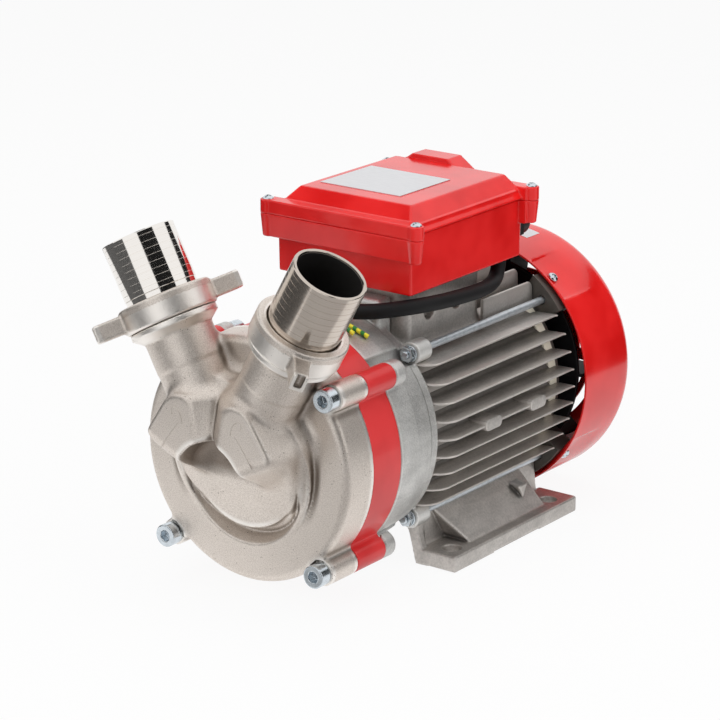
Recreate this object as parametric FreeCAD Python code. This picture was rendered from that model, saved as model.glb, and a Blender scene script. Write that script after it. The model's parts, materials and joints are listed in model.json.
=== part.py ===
import FreeCAD, Part
import math
import os
from FreeCAD import Vector, Placement, Rotation

# Electric transfer pump, millimetres.
# X runs to the right seen from the pump head, Y along the shaft towards the fan, Z up.
# The origin is the centre of the four foot holes, on the face that the feet stand on.

# Motor frame
SHAFT_HEIGHT = 80.0
FOOT_HOLE_SPACING_X = 125.0
FOOT_HOLE_SPACING_Y = 100.0
FOOT_HOLE_D = 10.5
FOOT_INNER_X = 46.0
FOOT_OUTER_X = 73.0
FOOT_FRONT_Y = -62.0
FOOT_REAR_Y = 65.4
FOOT_THICKNESS = 9.6
FOOT_CHAMFER = 2.5
FOOT_RELIEF_Y = (-22.0, 26.0)
FOOT_RELIEF_H = 1.0
BARREL_R = 60.0
BARREL_WALL = 4.0
BARREL_FRONT_Y = -70.0
BARREL_REAR_Y = 50.0
FIN_TIP_R = BARREL_R + 13.0
FIN_PITCH = 10.3
FIN_TIP_T = 1.4
FIN_ROOT_T = 4.0
FIN_INNER_X = 30.0
FIN_STEPS = 4
FIN_REAR_Y = 59.5
FIN_NOSE_R = 11.0
LEG_TOP_X = FOOT_INNER_X - 16.0
LEG_TOP_Z = SHAFT_HEIGHT - 45.0
CHEEK_X = FOOT_OUTER_X - 7.0
CHEEK_Y = (-37.0, 41.0)
RIB_T = 5.0
GUSSET_X = 60.0
GUSSET_Y = (8.0, 20.0)
TOP_FIN_T = 1.8
TOP_FIN_CORNER = 4.0
PAD_Y = (-25.5, 20.5)
PAD_L = 16.0
PAD_H = 6.8
PAD_RISE = 0.5
PAD_CORNER_R = 3.0
PEDESTAL_HALF_X = 38.0
PEDESTAL_FRONT_Y = -63.0
PEDESTAL_REAR_Y = 12.0
PEDESTAL_H = 20.0
PEDESTAL_TOP_Z = SHAFT_HEIGHT + BARREL_R + PEDESTAL_H

NOTCHES_Y = (-49.0, -22.0)
NOTCH_R = 5.0
NOTCH_DEPTH = 1.6

# Tie rods
ROD_CIRCLE_R = BARREL_R + 8.38
ROD_ANGLE = 45.18
ROD_X = ROD_CIRCLE_R * math.cos(math.radians(ROD_ANGLE))
ROD_Z = ROD_CIRCLE_R * math.sin(math.radians(ROD_ANGLE))
ROD_R = 2.3
ROD_NUT_AF = 8.0
ROD_NUT_H = 4.0
EAR_R = 6.5
EAR_SEAT_Y = -73.0
EAR_REAR_Y = -60.0

# Motor bracket and pump ring
BRACKET_FRONT_Y = -109.7
BRACKET_CREASE_Y = -93.0
BRACKET_RIM_Y = -76.0
BRACKET_RIM_R = BARREL_R + 6.0
BRACKET_R = BRACKET_RIM_R + 3.5
BRACKET_WALL_Y = 9.0
SHELF_HALF_X = 29.0
SHELF_FRONT_Y = -77.0
RING_FRONT_Y = -135.6
RING_R = BRACKET_R
CHAMBER_R = RING_R - 14.5
O_RING_IN_R = CHAMBER_R + 3.0
O_RING_OUT_R = CHAMBER_R + 7.0
O_RING_T = 2.0
WEAR_RIM = 1.5

# Pump casing
CASING_R = RING_R + 0.5
CASING_FACE_Y = -160.0
CASING_SHOULDER = 5.0
CASING_WALL = 6.0
CHAMBER_DEEP_Y = CASING_FACE_Y + CASING_WALL
CHAMBER_LOW_Y = CASING_FACE_Y + 15.0
CHAMBER_SPLIT_Z = 14.0
DOME_R = 48.0
DOME_LOW_Y = CASING_FACE_Y - 0.8
DOME_RISE = 12.2
DOME_LOW_BAND = 25.0
PLATE_TILT = 23.3
PLATE_TOP_Z = 12.0
PLATE_R = 42.6
PLATE_MEETS_FACE_Z = -25.0
RECESS_R = 44.2
RECESS_DROP = 3.2
RECESS_FLOOR_Y = CASING_FACE_Y + 11.5
BOWL_R = 21.5
BOWL_DROP = 3.6
BOWL_FLOOR_Y = -167.0
BOWL_END_R = 12.0
ARM_FACE_Y = -192.5
ARM_EDGE = 2.5
ARM_REACH = 60.0
ARM_LOW = 30.0
# Planes that cut the right arm, as points and outward directions from the shaft's height:
# lower and upper side of the pad, inner side, end below the pad, underside, outer wall
ARM_CORNER = (43.9, ARM_FACE_Y, 14.9)
ARM_PLANES = [
    (ARM_CORNER, (0.834, -0.22, 0.552)),
    ((19.0, ARM_FACE_Y, 42.3), (0.447, -0.22, 0.894)),
    ((8.4, ARM_FACE_Y, 29.6), (-0.70, -0.60, 0.39)),
    (ARM_CORNER, (0.369, -0.492, -0.789)),
    ((19.0, -167.5, -8.4), (-0.245, -0.389, -0.888)),
    (ARM_CORNER, (0.960, -0.10, -0.28)),
]
SCREW_CIRCLE_R = CASING_R + 5.0
SCREW_ANGLES = (38.7, -134.0, -46.0)
REAR_SCREW_ANGLE = 141.3
REAR_SCREW_END_Y = -145.0
REAR_LUG_FRONT_Y = -149.0
SCREW_R = 4.0
SCREW_HEAD_R = 6.5
SCREW_HEAD_H = 8.0
SOCKET_AF = 6.0
SOCKET_DEPTH = 4.5
SCREW_SEAT_Y = -159.0
SCREW_END_Y = -102.0
LUG_R = 7.5
LUG_REAR_Y = -99.5

# Ports, hose tails and wing nuts, measured along each leaning port axis
PORT_LEAN = 29.0
PORT_Y = -169.0
PORT_TUBE_R = 19.0
PORT_BORE_R = 15.0
PORT_FLANGE_R = 25.0
PORT_FLANGE_AT = 82.0
PORT_FLARE = 4.5
PASSAGE_R = 11.0
NUT_FROM = 85.8
NUT_H = 14.2
NUT_R = 26.3
NECK_R = 23.2
NECK_END = 90.0
WING_TIP_R = 42.7
WING_T = 8.0
WING_H = 10.0
WING_TURN = {"left": -52.0, "right": -49.0}
TAIL_R = 20.77
TAIL_BORE_R = 18.5
TAIL_END = 135.6
TAIL_FLANGE_H = 4.0
TAIL_NECK_R = 20.5
TAIL_LAND_FROM = 103.2
SEAL_T = 1.5

# Shaft line
SHAFT_R = 8.5
PUMP_SHAFT_R = 7.0
FAN_SHAFT_R = 6.5
REAR_JOURNAL_R = 7.5
SHAFT_FRONT_Y = -142.0
SHAFT_REAR_Y = 97.0
IMPELLER_R = 51.0
IMPELLER_FRONT_Y = -133.0
IMPELLER_REAR_Y = -114.0
IMPELLER_DISC_T = 4.0
IMPELLER_BLADES = 12
IMPELLER_NUT_H = 7.0
WEAR_PLATE_T = 2.0
WEAR_PLATE_BORE_R = 16.0
ROTOR_R = 29.3
STATOR_BORE_R = 30.0
CORE_FRONT_Y = -42.0
CORE_REAR_Y = 28.0
WINDING_H = 15.0
WINDING_R = BARREL_R - 10.0
FRONT_BEARING_R = 20.0
FRONT_BEARING_W = 12.0
FRONT_BEARING_Y = -96.0
REAR_BEARING_R = 17.5
REAR_BEARING_W = 11.0
REAR_BEARING_Y = 46.0

# Fan end
SHIELD_R = BARREL_R + 2.0
SHIELD_WALL_T = 5.0
SHIELD_REAR_Y = 60.0
EAR_PLATE_T = 8.0
COVER_R = FIN_TIP_R + 5.45
COVER_WALL = 1.2
COVER_FRONT_Y = 64.2
COVER_REAR_Y = 118.0
COVER_ROUND = 10.0
COVER_FLAT_R = COVER_R - 1.55
COVER_FLAT_END_Y = 82.0
COVER_SCREW_Y = 72.0
COVER_SCREW_R = 1.75
COVER_SCREW_HEAD_R = 3.4
COVER_SCREW_HEAD_H = 2.2
COVER_FLAT_HALF_Z = 16.0
COVER_SCREW_ANGLES = (51.0, 141.0, 231.0, 321.0)
SLOT_RINGS = 5
SLOTS_ROUND = 6
SLOT_INNER_R = 16.0
SLOT_PITCH = 8.0
SLOT_W = 4.4
SLOT_BAR = 5.0
FAN_R = COVER_R - 12.45
FAN_DISC_R = FAN_R - 3.0
FAN_FRONT_Y = 79.0
FAN_REAR_Y = 103.0
FAN_BLADES = 9

# Terminal box
BOX_HALF_X = 46.6
BOX_FRONT_Y = -70.5
BOX_REAR_Y = 39.7
BOX_WALL = 2.5
BOX_FLOOR = 3.0
BOX_H = 33.8
LID_RIM_H = 6.2
LID_SLOPE_H = 8.65
BOX_TOP_Z = PEDESTAL_TOP_Z + BOX_H
LID_RIM_Z = BOX_TOP_Z + LID_RIM_H
LID_TOP_Z = LID_RIM_Z + LID_SLOPE_H
LID_TOP_HALF_X = 38.7
LID_TOP_FRONT_Y = -59.5
LID_TOP_REAR_Y = 33.0
LID_GASKET_T = 1.0
BOSS_R = 4.5
BOSS_WEB = 6.0
BOSS_OUT_X = 4.8
BOSS_OUT_Y = 2.2
BOSS_UP = 8.0
BOSS_DOWN = 13.5
BOSS_TOP_Z = BOX_TOP_Z + BOSS_UP
BOSS_FOOT_Z = BOX_TOP_Z - BOSS_DOWN
LID_SCREW_R = 1.9
LID_SCREW_IN = 12.0
PLATE_X = (-34.0, 22.0)
PLATE_Y = (-47.0, 2.0)
PLATE_T = 0.4
HOUSING_RISE = 2.75
HOUSING_TOP_Z = LID_TOP_Z + HOUSING_RISE
HOUSING_TOP_X = (-27.5, -2.2)
HOUSING_FRONT_Y = 33.5
HOUSING_REAR_Y = 48.0
HOUSING_SLOPE = 35.0
SWITCH_W = 19.0
SWITCH_H = 12.5
ROCKER_TILT = 10.0
ROCKER_PIN_R = 0.9
ROCKER_PIN_IN = 1.5
WIRE_HOLE_X = 14.0
WIRE_HOLE_Y = (-40.0, -12.0)
BOARD_HALF_X = 22.0
BOARD_Y = (-64.0, -42.0)
BOARD_T = 8.0
STUD_R = 2.0
STUD_H = 8.0
STUD_STEP_X = 14.0
STUD_STEP_Y = 11.0
CAPACITOR_R = 13.0
CAPACITOR_L = 66.0
CAPACITOR_AT = (-26.0, -42.0)
GLAND_AF = 19.0
GLAND_IN = 1.6
GLAND_UP = 17.0
GLAND_X = BOX_HALF_X - GLAND_AF / 2 - GLAND_IN
GLAND_Z = PEDESTAL_TOP_Z + GLAND_UP
GLAND_R = 8.0

# Supply lead: route of its centre line from the grommet to the stripped end
CORD_R = 4.4
CORD_ROUTE = [
    (38.5, 28.6, 164.0), (38.5, 28.6, 157.5), (39.5, 25.9, 152.2), (41.2, 21.1, 149.1),
    (45.1, 10.3, 148.4),
    (47.8, -4.0, 149.0), (49.4, -21.0, 150.4), (49.8, -38.0, 151.6), (48.9, -54.0, 152.9),
    (45.3, -68.0, 153.5), (38.2, -78.5, 153.0), (29.6, -85.0, 151.9), (21.5, -89.5, 151.8),
]
CORE_R = 1.3
CORE_OFFSET = 2.3
GROMMET_R = 6.4
GROMMET_COLLAR_R = 5.5
GROMMET_COLLAR_H = 1.8

# Clearances
FIT = 0.03
RUN = 0.08
GAP = 0.3
SCREW_CLEAR = 0.5

AXIS = Vector(0, 1, 0)
CENTRE = Vector(0, 0, SHAFT_HEIGHT)
UP = Vector(0, 0, 1)


def rod_y(radius, y0, y1, x=0.0, z=SHAFT_HEIGHT):
    """Round bar along the shaft direction."""
    return Part.makeCylinder(radius, y1 - y0, Vector(x, y0, z), AXIS)


def ring_y(outer, inner, y0, y1, x=0.0, z=SHAFT_HEIGHT):
    """Ring along the shaft direction."""
    return rod_y(outer, y0, y1, x, z).cut(rod_y(inner, y0 - 1, y1 + 1, x, z))


def block(x0, x1, y0, y1, z0, z1):
    return Part.makeBox(x1 - x0, y1 - y0, z1 - z0, Vector(x0, y0, z0))


def rounded_block(x0, x1, y0, y1, z0, z1, corner):
    """Block with its four upright edges rounded."""
    body = block(x0, x1, y0, y1, z0, z1)
    upright = [e for e in body.Edges if abs(e.tangentAt(e.FirstParameter).z) > 0.9]
    return body.makeFillet(corner, upright)


def polygon(points):
    return Part.makePolygon(list(points) + [points[0]])


def turned(profile):
    """Solid turned about the shaft axis from (radius, y) corners."""
    wire = polygon([Vector(r, y, SHAFT_HEIGHT) for r, y in profile])
    return Part.Face(wire).revolve(CENTRE, AXIS, 360)


def turned_z(profile):
    """Solid turned about the local Z axis from (radius, height) corners."""
    wire = polygon([Vector(r, 0, h) for r, h in profile])
    return Part.Face(wire).revolve(Vector(0, 0, 0), UP, 360)


def prism_y(points, y0, y1):
    """Prism from (x, z) corners, along the shaft direction."""
    face = Part.Face(polygon([Vector(x, y0, z) for x, z in points]))
    return face.extrude(Vector(0, y1 - y0, 0))


def prism_x(points, x0, x1):
    """Prism from (y, z) corners, along X."""
    face = Part.Face(polygon([Vector(x0, y, z) for y, z in points]))
    return face.extrude(Vector(x1 - x0, 0, 0))


def joined(shapes):
    shape = shapes[0].multiFuse(shapes[1:])
    return shape.removeSplitter()


def grown(solid, forms):
    """Fuses each form on in turn."""
    for form in forms:
        solid = solid.fuse(form).removeSplitter()
    return solid


def carved(solid, tools):
    """Cuts each tool out in turn."""
    for tool in tools:
        solid = solid.cut(tool)
    return solid


def on_circle(radius, angle):
    """X and Z of a point on a circle about the shaft."""
    a = math.radians(angle)
    return radius * math.cos(a), SHAFT_HEIGHT + radius * math.sin(a)


def mirrored_x(shape):
    return shape.mirror(Vector(0, 0, 0), Vector(1, 0, 0))


def on_port(shape, side):
    """Moves a shape built about local Z onto the left or right port axis."""
    sign = 1 if side == "right" else -1
    placed = shape.copy()
    port = Placement(Vector(0, PORT_Y, SHAFT_HEIGHT), Rotation(AXIS, sign * PORT_LEAN))
    placed.Placement = port.multiply(shape.Placement)
    return placed


def screw_places():
    """The three casing screws that are put in from the front."""
    return [on_circle(SCREW_CIRCLE_R, angle) for angle in SCREW_ANGLES]


def all_screw_places():
    return screw_places() + [on_circle(SCREW_CIRCLE_R, REAR_SCREW_ANGLE)]


def rod_places():
    return [(sx * ROD_X, SHAFT_HEIGHT + sz * ROD_Z) for sx in (-1, 1) for sz in (-1, 1)]


def lug_set(y0, y1):
    return [rod_y(LUG_R, y0, y1, x, z) for x, z in all_screw_places()]


def socket_screw(length):
    """Socket-head screw along +Y from its seat at the origin, its head on the other side."""
    head = rod_y(SCREW_HEAD_R, -SCREW_HEAD_H, 0, 0, 0)
    socket = hexagon_y(SOCKET_AF, -SCREW_HEAD_H - 1, SOCKET_DEPTH - SCREW_HEAD_H, 0, 0)
    shank = rod_y(SCREW_R, 0, length, 0, 0)
    return head.cut(socket).fuse(shank)


def hexagon_y(across_flats, y0, y1, x, z, first_corner=0):
    corner_r = across_flats / math.sqrt(3)
    angles = [math.radians(first_corner + 60 * i) for i in range(6)]
    corners = [(x + corner_r * math.cos(a), z + corner_r * math.sin(a)) for a in angles]
    return prism_y(corners, y0, y1)


# Pump casing

def beyond(point, outward):
    """Large block whose one face lies on a plane, on the side that the direction points to."""
    slab = Part.makeBox(400, 400, 200, Vector(-200, -200, 0))
    x, y, z = point
    slab.Placement = Placement(Vector(x, y, SHAFT_HEIGHT + z), Rotation(UP, Vector(*outward)))
    return slab


def on_side(sign, place):
    """The place or direction for the right side (+1) or its mirror image for the left (-1)."""
    return (sign * place[0], place[1], place[2])


def arm(sign):
    """Raised arm: a block that leaning planes cut down to its flat pad."""
    x0, x1 = sorted((0, sign * ARM_REACH))
    body = block(x0, x1, ARM_FACE_Y, CASING_FACE_Y + 1, SHAFT_HEIGHT - ARM_LOW, SHAFT_HEIGHT + ARM_REACH)
    walls = [beyond(on_side(sign, point), on_side(sign, outward)) for point, outward in ARM_PLANES]
    body = carved(body, walls)
    free = [edge for edge in body.Edges
            if edge.CenterOfMass.y < CASING_FACE_Y - 2 and sign * edge.CenterOfMass.x > 1]
    return body.makeFillet(ARM_EDGE, free)


def dome():
    """Round boss on the front face, cut by a plane that leans back towards the bottom."""
    top_y = DOME_LOW_Y - DOME_RISE
    boss = rod_y(DOME_R, top_y - 2, CASING_FACE_Y + 2)
    low_z = SHAFT_HEIGHT - DOME_R
    high_z = SHAFT_HEIGHT + DOME_R
    keep = prism_x([(CASING_FACE_Y + 3, low_z - 1), (DOME_LOW_Y, low_z - 1),
                    (DOME_LOW_Y, low_z + DOME_LOW_BAND), (top_y, high_z), (CASING_FACE_Y + 3, high_z)],
                   -DOME_R - 1, DOME_R + 1)
    return boss.common(keep)


def port_tube():
    """Port on local Z: tube, flare, flange and threaded neck."""
    return turned_z([(0, 20), (PORT_TUBE_R, 20), (PORT_TUBE_R, PORT_FLANGE_AT - PORT_FLARE),
                     (PORT_FLANGE_R, PORT_FLANGE_AT), (PORT_FLANGE_R, NUT_FROM - GAP),
                     (NECK_R, NUT_FROM - GAP), (NECK_R, NECK_END), (0, NECK_END)])


def plate_line(z):
    """Y of the tilted plate at a height above the shaft."""
    return CASING_FACE_Y - math.tan(math.radians(PLATE_TILT)) * (z - PLATE_MEETS_FACE_Z)


def tilted_plate():
    """Wedge between the arms. Its face crosses the casing's face and sinks below it, and its
    lower edge is an arc."""
    foot_y = RECESS_FLOOR_Y + 1
    low, high = -PLATE_R - 1, PLATE_TOP_Z
    outline = [(plate_line(low), low), (plate_line(high), high), (foot_y, high), (foot_y, low)]
    wedge = prism_x([(y, SHAFT_HEIGHT + z) for y, z in outline], -PLATE_R, PLATE_R)
    wedge = wedge.common(rod_y(PLATE_R, ARM_FACE_Y, foot_y + 1))
    right_wall = beyond(*ARM_PLANES[-1])
    above_face = block(-60, 60, ARM_FACE_Y - 10, CASING_FACE_Y, 0, 2 * SHAFT_HEIGHT)
    for wall in (right_wall, mirrored_x(right_wall)):
        wedge = wedge.cut(wall.common(above_face))
    return wedge


def recess():
    """Room below the place where the tilted plate crosses the face."""
    room = rod_y(RECESS_R, CASING_FACE_Y - 9, RECESS_FLOOR_Y, 0, SHAFT_HEIGHT - RECESS_DROP)
    below = block(-RECESS_R - 1, RECESS_R + 1, CASING_FACE_Y - 10, RECESS_FLOOR_Y + 1,
                  0, SHAFT_HEIGHT + PLATE_MEETS_FACE_Z)
    return room.common(below).cut(tilted_plate())


def bowl():
    """Arched hollow between the arms, with a round inner end."""
    room = rod_y(BOWL_R, ARM_FACE_Y - 12, BOWL_FLOOR_Y, 0, SHAFT_HEIGHT - BOWL_DROP)
    inner_end = [edge for edge in room.Edges if edge.CenterOfMass.y > BOWL_FLOOR_Y - 0.5]
    return room.makeFillet(BOWL_END_R, inner_end)


def waterways():
    """Port bores and the passages that lead from them through the arms to the chamber."""
    lean = math.radians(PORT_LEAN)
    ways = []
    for side, sign in (("right", 1), ("left", -1)):
        bore = Part.makeCylinder(PORT_BORE_R, NECK_END - 26, Vector(0, 0, 30), UP)
        ways.append(on_port(bore, side))
        x, z = sign * 36 * math.sin(lean), SHAFT_HEIGHT + 36 * math.cos(lean)
        ways.append(Part.makeSphere(PORT_BORE_R, Vector(x, PORT_Y - 4, z - 2)))
        ways.append(rod_y(PASSAGE_R, PORT_Y - 6, CHAMBER_DEEP_Y + 1, x, z - 3))
        ways.append(rod_y(PASSAGE_R - 3, PORT_Y - 9, CHAMBER_DEEP_Y + 1, sign * 30.0, SHAFT_HEIGHT + 16))
    return ways


def pump_casing():
    body = turned([(0, CASING_FACE_Y), (CASING_R - CASING_SHOULDER, CASING_FACE_Y),
                   (CASING_R - 1.5, CASING_FACE_Y + 1.6), (CASING_R, CASING_FACE_Y + CASING_SHOULDER),
                   (CASING_R, RING_FRONT_Y), (0, RING_FRONT_Y)])
    rear_x, rear_z = on_circle(SCREW_CIRCLE_R, REAR_SCREW_ANGLE)
    lugs = [rod_y(LUG_R, SCREW_SEAT_Y, RING_FRONT_Y, x, z) for x, z in screw_places()]
    lugs.append(rod_y(LUG_R, REAR_LUG_FRONT_Y, RING_FRONT_Y, rear_x, rear_z))
    body = joined([body, dome()] + lugs).cut(recess())
    ports = [on_port(port_tube(), side) for side in ("left", "right")]
    front = grown(arm(1), [arm(-1)] + ports + [tilted_plate()])
    solid = body.fuse(front).removeSplitter()
    chamber_r = CHAMBER_R - 3
    upper = block(-chamber_r, chamber_r, CHAMBER_DEEP_Y - 1, CHAMBER_LOW_Y + 1,
                  SHAFT_HEIGHT - CHAMBER_SPLIT_Z, SHAFT_HEIGHT + chamber_r)
    cuts = [bowl(), rod_y(chamber_r, CHAMBER_LOW_Y, RING_FRONT_Y + 1),
            rod_y(chamber_r - 1, CHAMBER_DEEP_Y, CHAMBER_LOW_Y + 1).common(upper)]
    cuts += waterways()
    cuts += [rod_y(SCREW_R + SCREW_CLEAR, SCREW_SEAT_Y - 1, RING_FRONT_Y + 1, x, z)
             for x, z in screw_places()]
    cuts.append(rod_y(SCREW_R + FIT, REAR_SCREW_END_Y - 1, RING_FRONT_Y + 1, rear_x, rear_z))
    for x, z in screw_places():
        cuts.append(rod_y(SCREW_HEAD_R + SCREW_CLEAR, CASING_FACE_Y - 20, SCREW_SEAT_Y, x, z))
    return carved(solid, cuts)


def casing_screws():
    """Three screws from the front; the fourth, behind the left port, from the rear."""
    screws = []
    for x, z in screw_places():
        screw = socket_screw(SCREW_END_Y - SCREW_SEAT_Y)
        screw.translate(Vector(x, SCREW_SEAT_Y, z))
        screws.append(screw)
    x, z = on_circle(SCREW_CIRCLE_R, REAR_SCREW_ANGLE)
    screw = socket_screw(LUG_REAR_Y - REAR_SCREW_END_Y)
    screw.rotate(Vector(0, 0, 0), UP, 180)
    screw.translate(Vector(x, LUG_REAR_Y, z))
    return screws + [screw]


# Ports

def hose_tail(side):
    low = NECK_END + SEAL_T
    tail = turned_z([(TAIL_BORE_R, low), (NECK_R - 1.2, low), (NECK_R - 1.2, low + TAIL_FLANGE_H),
                     (TAIL_NECK_R, low + TAIL_FLANGE_H), (TAIL_NECK_R, TAIL_LAND_FROM),
                     (TAIL_R, TAIL_LAND_FROM), (TAIL_R, TAIL_END - 0.8),
                     (TAIL_R - 0.8, TAIL_END), (TAIL_BORE_R, TAIL_END)])
    flat = block(TAIL_NECK_R - 0.6, TAIL_R + 5, -8, 8, NUT_FROM + NUT_H, TAIL_LAND_FROM)
    turn = Rotation(UP, WING_TURN[side] + 18)
    flat.Placement = Placement(Vector(0, 0, 0), turn)
    return on_port(tail.cut(flat), side)


def port_seal(side):
    seal = turned_z([(TAIL_BORE_R, NECK_END), (NECK_R - 1.2, NECK_END),
                     (NECK_R - 1.2, NECK_END + SEAL_T), (TAIL_BORE_R, NECK_END + SEAL_T)])
    return on_port(seal, side)


def wing_nut(side):
    top = NUT_FROM + NUT_H
    bore_r = NECK_R + RUN
    lip_r = TAIL_R + GAP
    lip_z = NECK_END + SEAL_T + TAIL_FLANGE_H + GAP
    body = turned_z([(bore_r, NUT_FROM), (NUT_R - 0.8, NUT_FROM), (NUT_R, NUT_FROM + 0.8),
                     (NUT_R, top - 1.2), (NUT_R - 1.2, top), (lip_r, top), (lip_r, lip_z),
                     (bore_r, lip_z)])
    middle = NUT_FROM + NUT_H / 2
    wings = []
    for turn in (0, 180):
        root, tip = WING_T * 0.62, WING_T * 0.5
        outline = [Vector(NUT_R - 1.5, -root, 0), Vector(WING_TIP_R, -tip, 0),
                   Vector(WING_TIP_R, tip, 0), Vector(NUT_R - 1.5, root, 0)]
        wing = Part.Face(polygon(outline)).extrude(Vector(0, 0, WING_H))
        wing.Placement = Placement(Vector(0, 0, middle - WING_H / 2), Rotation(UP, turn))
        wings.append(wing)
    nut = joined([body] + wings)
    turn_sign = 1 if side == "right" else -1
    direction = WING_TURN[side] if turn_sign == 1 else 180 - WING_TURN[side]
    nut.Placement = Placement(Vector(0, 0, 0), Rotation(UP, direction))
    return on_port(nut, side)


# Ring, bracket and sealing

def pump_ring():
    body = ring_y(RING_R, CHAMBER_R, RING_FRONT_Y, BRACKET_FRONT_Y)
    ring = joined([body] + lug_set(RING_FRONT_Y, BRACKET_FRONT_Y))
    cuts = [ring_y(O_RING_OUT_R, O_RING_IN_R, RING_FRONT_Y - 1, RING_FRONT_Y + O_RING_T),
            ring_y(O_RING_OUT_R, O_RING_IN_R, BRACKET_FRONT_Y - O_RING_T, BRACKET_FRONT_Y + 1),
            rod_y(CHAMBER_R + WEAR_RIM, BRACKET_FRONT_Y - WEAR_PLATE_T - FIT, BRACKET_FRONT_Y + 1)]
    cuts += [rod_y(SCREW_R + SCREW_CLEAR, RING_FRONT_Y - 1, BRACKET_FRONT_Y + 1, x, z)
             for x, z in all_screw_places()]
    return carved(ring, cuts)


def seal_ring(y0, y1):
    return ring_y(O_RING_OUT_R - FIT, O_RING_IN_R + FIT, y0, y1)


def wear_plate():
    return ring_y(CHAMBER_R + WEAR_RIM - FIT, WEAR_PLATE_BORE_R, BRACKET_FRONT_Y - WEAR_PLATE_T,
                  BRACKET_FRONT_Y)


def bracket_ears():
    ears = []
    for x, z in rod_places():
        ears.append(rod_y(EAR_R, EAR_SEAT_Y, EAR_REAR_Y, x, z))
    return ears


def motor_bracket():
    wall_y = BRACKET_FRONT_Y + BRACKET_WALL_Y
    spigot_r = BARREL_R - BARREL_WALL - FIT
    inner_r = BARREL_R - BARREL_WALL - 3
    body = turned([(0, BRACKET_FRONT_Y), (BRACKET_R, BRACKET_FRONT_Y), (BRACKET_R, BRACKET_CREASE_Y),
                   (BRACKET_R - 1.6, BRACKET_RIM_Y - 3), (BRACKET_RIM_R, BRACKET_RIM_Y),
                   (BRACKET_RIM_R, BARREL_FRONT_Y), (spigot_r, BARREL_FRONT_Y),
                   (spigot_r, BARREL_FRONT_Y + 5), (inner_r, BARREL_FRONT_Y + 5),
                   (inner_r, wall_y), (FRONT_BEARING_R + 7, wall_y),
                   (FRONT_BEARING_R + 5, FRONT_BEARING_Y + FRONT_BEARING_W + 2),
                   (0, FRONT_BEARING_Y + FRONT_BEARING_W + 2)])
    shelf = rounded_block(-SHELF_HALF_X, SHELF_HALF_X, SHELF_FRONT_Y, PEDESTAL_FRONT_Y - GAP,
                          SHAFT_HEIGHT + BARREL_R + GAP, PEDESTAL_TOP_Z - 4, 5.0)
    solid = joined([body, shelf] + bracket_ears() + lug_set(BRACKET_FRONT_Y, LUG_REAR_Y))
    cuts = [rod_y(15.0, BRACKET_FRONT_Y - 1, BRACKET_FRONT_Y + 7),
            rod_y(SHAFT_R + 2, BRACKET_FRONT_Y, FRONT_BEARING_Y + 1),
            rod_y(FRONT_BEARING_R + FIT, FRONT_BEARING_Y, FRONT_BEARING_Y + FRONT_BEARING_W + 3)]
    for x, z in rod_places():
        cuts.append(rod_y(ROD_R + SCREW_CLEAR, BRACKET_CREASE_Y, EAR_REAR_Y + 1, x, z))
        cuts.append(rod_y(ROD_NUT_AF / 2 + 1.8, BRACKET_CREASE_Y + 4, EAR_SEAT_Y, x, z))
    cuts += [rod_y(SCREW_R + FIT, BRACKET_FRONT_Y - 1, LUG_REAR_Y + 1, x, z)
             for x, z in screw_places()]
    x, z = on_circle(SCREW_CIRCLE_R, REAR_SCREW_ANGLE)
    cuts.append(rod_y(SCREW_R + SCREW_CLEAR, BRACKET_FRONT_Y - 1, LUG_REAR_Y + 1, x, z))
    cuts.append(rod_y(SCREW_HEAD_R + SCREW_CLEAR, LUG_REAR_Y, LUG_REAR_Y + SCREW_HEAD_H + 2, x, z))
    return carved(solid, cuts)


def seal_seat():
    return ring_y(15.0 - FIT, PUMP_SHAFT_R + 1.0, BRACKET_FRONT_Y, BRACKET_FRONT_Y + 6.0)


def seal_rotor():
    """Rotating half of the shaft seal, between its seat and the impeller hub."""
    return ring_y(12.0, PUMP_SHAFT_R + FIT, IMPELLER_REAR_Y, BRACKET_FRONT_Y - FIT)


# Shaft line

def shaft():
    step_y = BRACKET_FRONT_Y + 6.0 + 1.0
    profile = [(0, SHAFT_FRONT_Y), (4.0, SHAFT_FRONT_Y), (4.0, IMPELLER_FRONT_Y),
               (PUMP_SHAFT_R, IMPELLER_FRONT_Y), (PUMP_SHAFT_R, step_y), (SHAFT_R, step_y),
               (SHAFT_R, FRONT_BEARING_Y + FRONT_BEARING_W), (SHAFT_R + 1, FRONT_BEARING_Y + FRONT_BEARING_W),
               (SHAFT_R + 1, REAR_BEARING_Y), (REAR_JOURNAL_R, REAR_BEARING_Y),
               (REAR_JOURNAL_R, REAR_BEARING_Y + REAR_BEARING_W),
               (FAN_SHAFT_R, REAR_BEARING_Y + REAR_BEARING_W), (FAN_SHAFT_R, SHAFT_REAR_Y),
               (0, SHAFT_REAR_Y)]
    key_seat = block(-2.5, 2.5, IMPELLER_FRONT_Y, IMPELLER_REAR_Y - 1,
                     SHAFT_HEIGHT + PUMP_SHAFT_R - 2.5, SHAFT_HEIGHT + PUMP_SHAFT_R + 1)
    return turned(profile).cut(key_seat)


def impeller_key():
    return block(-2.5 + FIT, 2.5 - FIT, IMPELLER_FRONT_Y, IMPELLER_REAR_Y - 1 - FIT,
                 SHAFT_HEIGHT + PUMP_SHAFT_R - 2.5 + FIT, SHAFT_HEIGHT + PUMP_SHAFT_R + 2.0)


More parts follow.
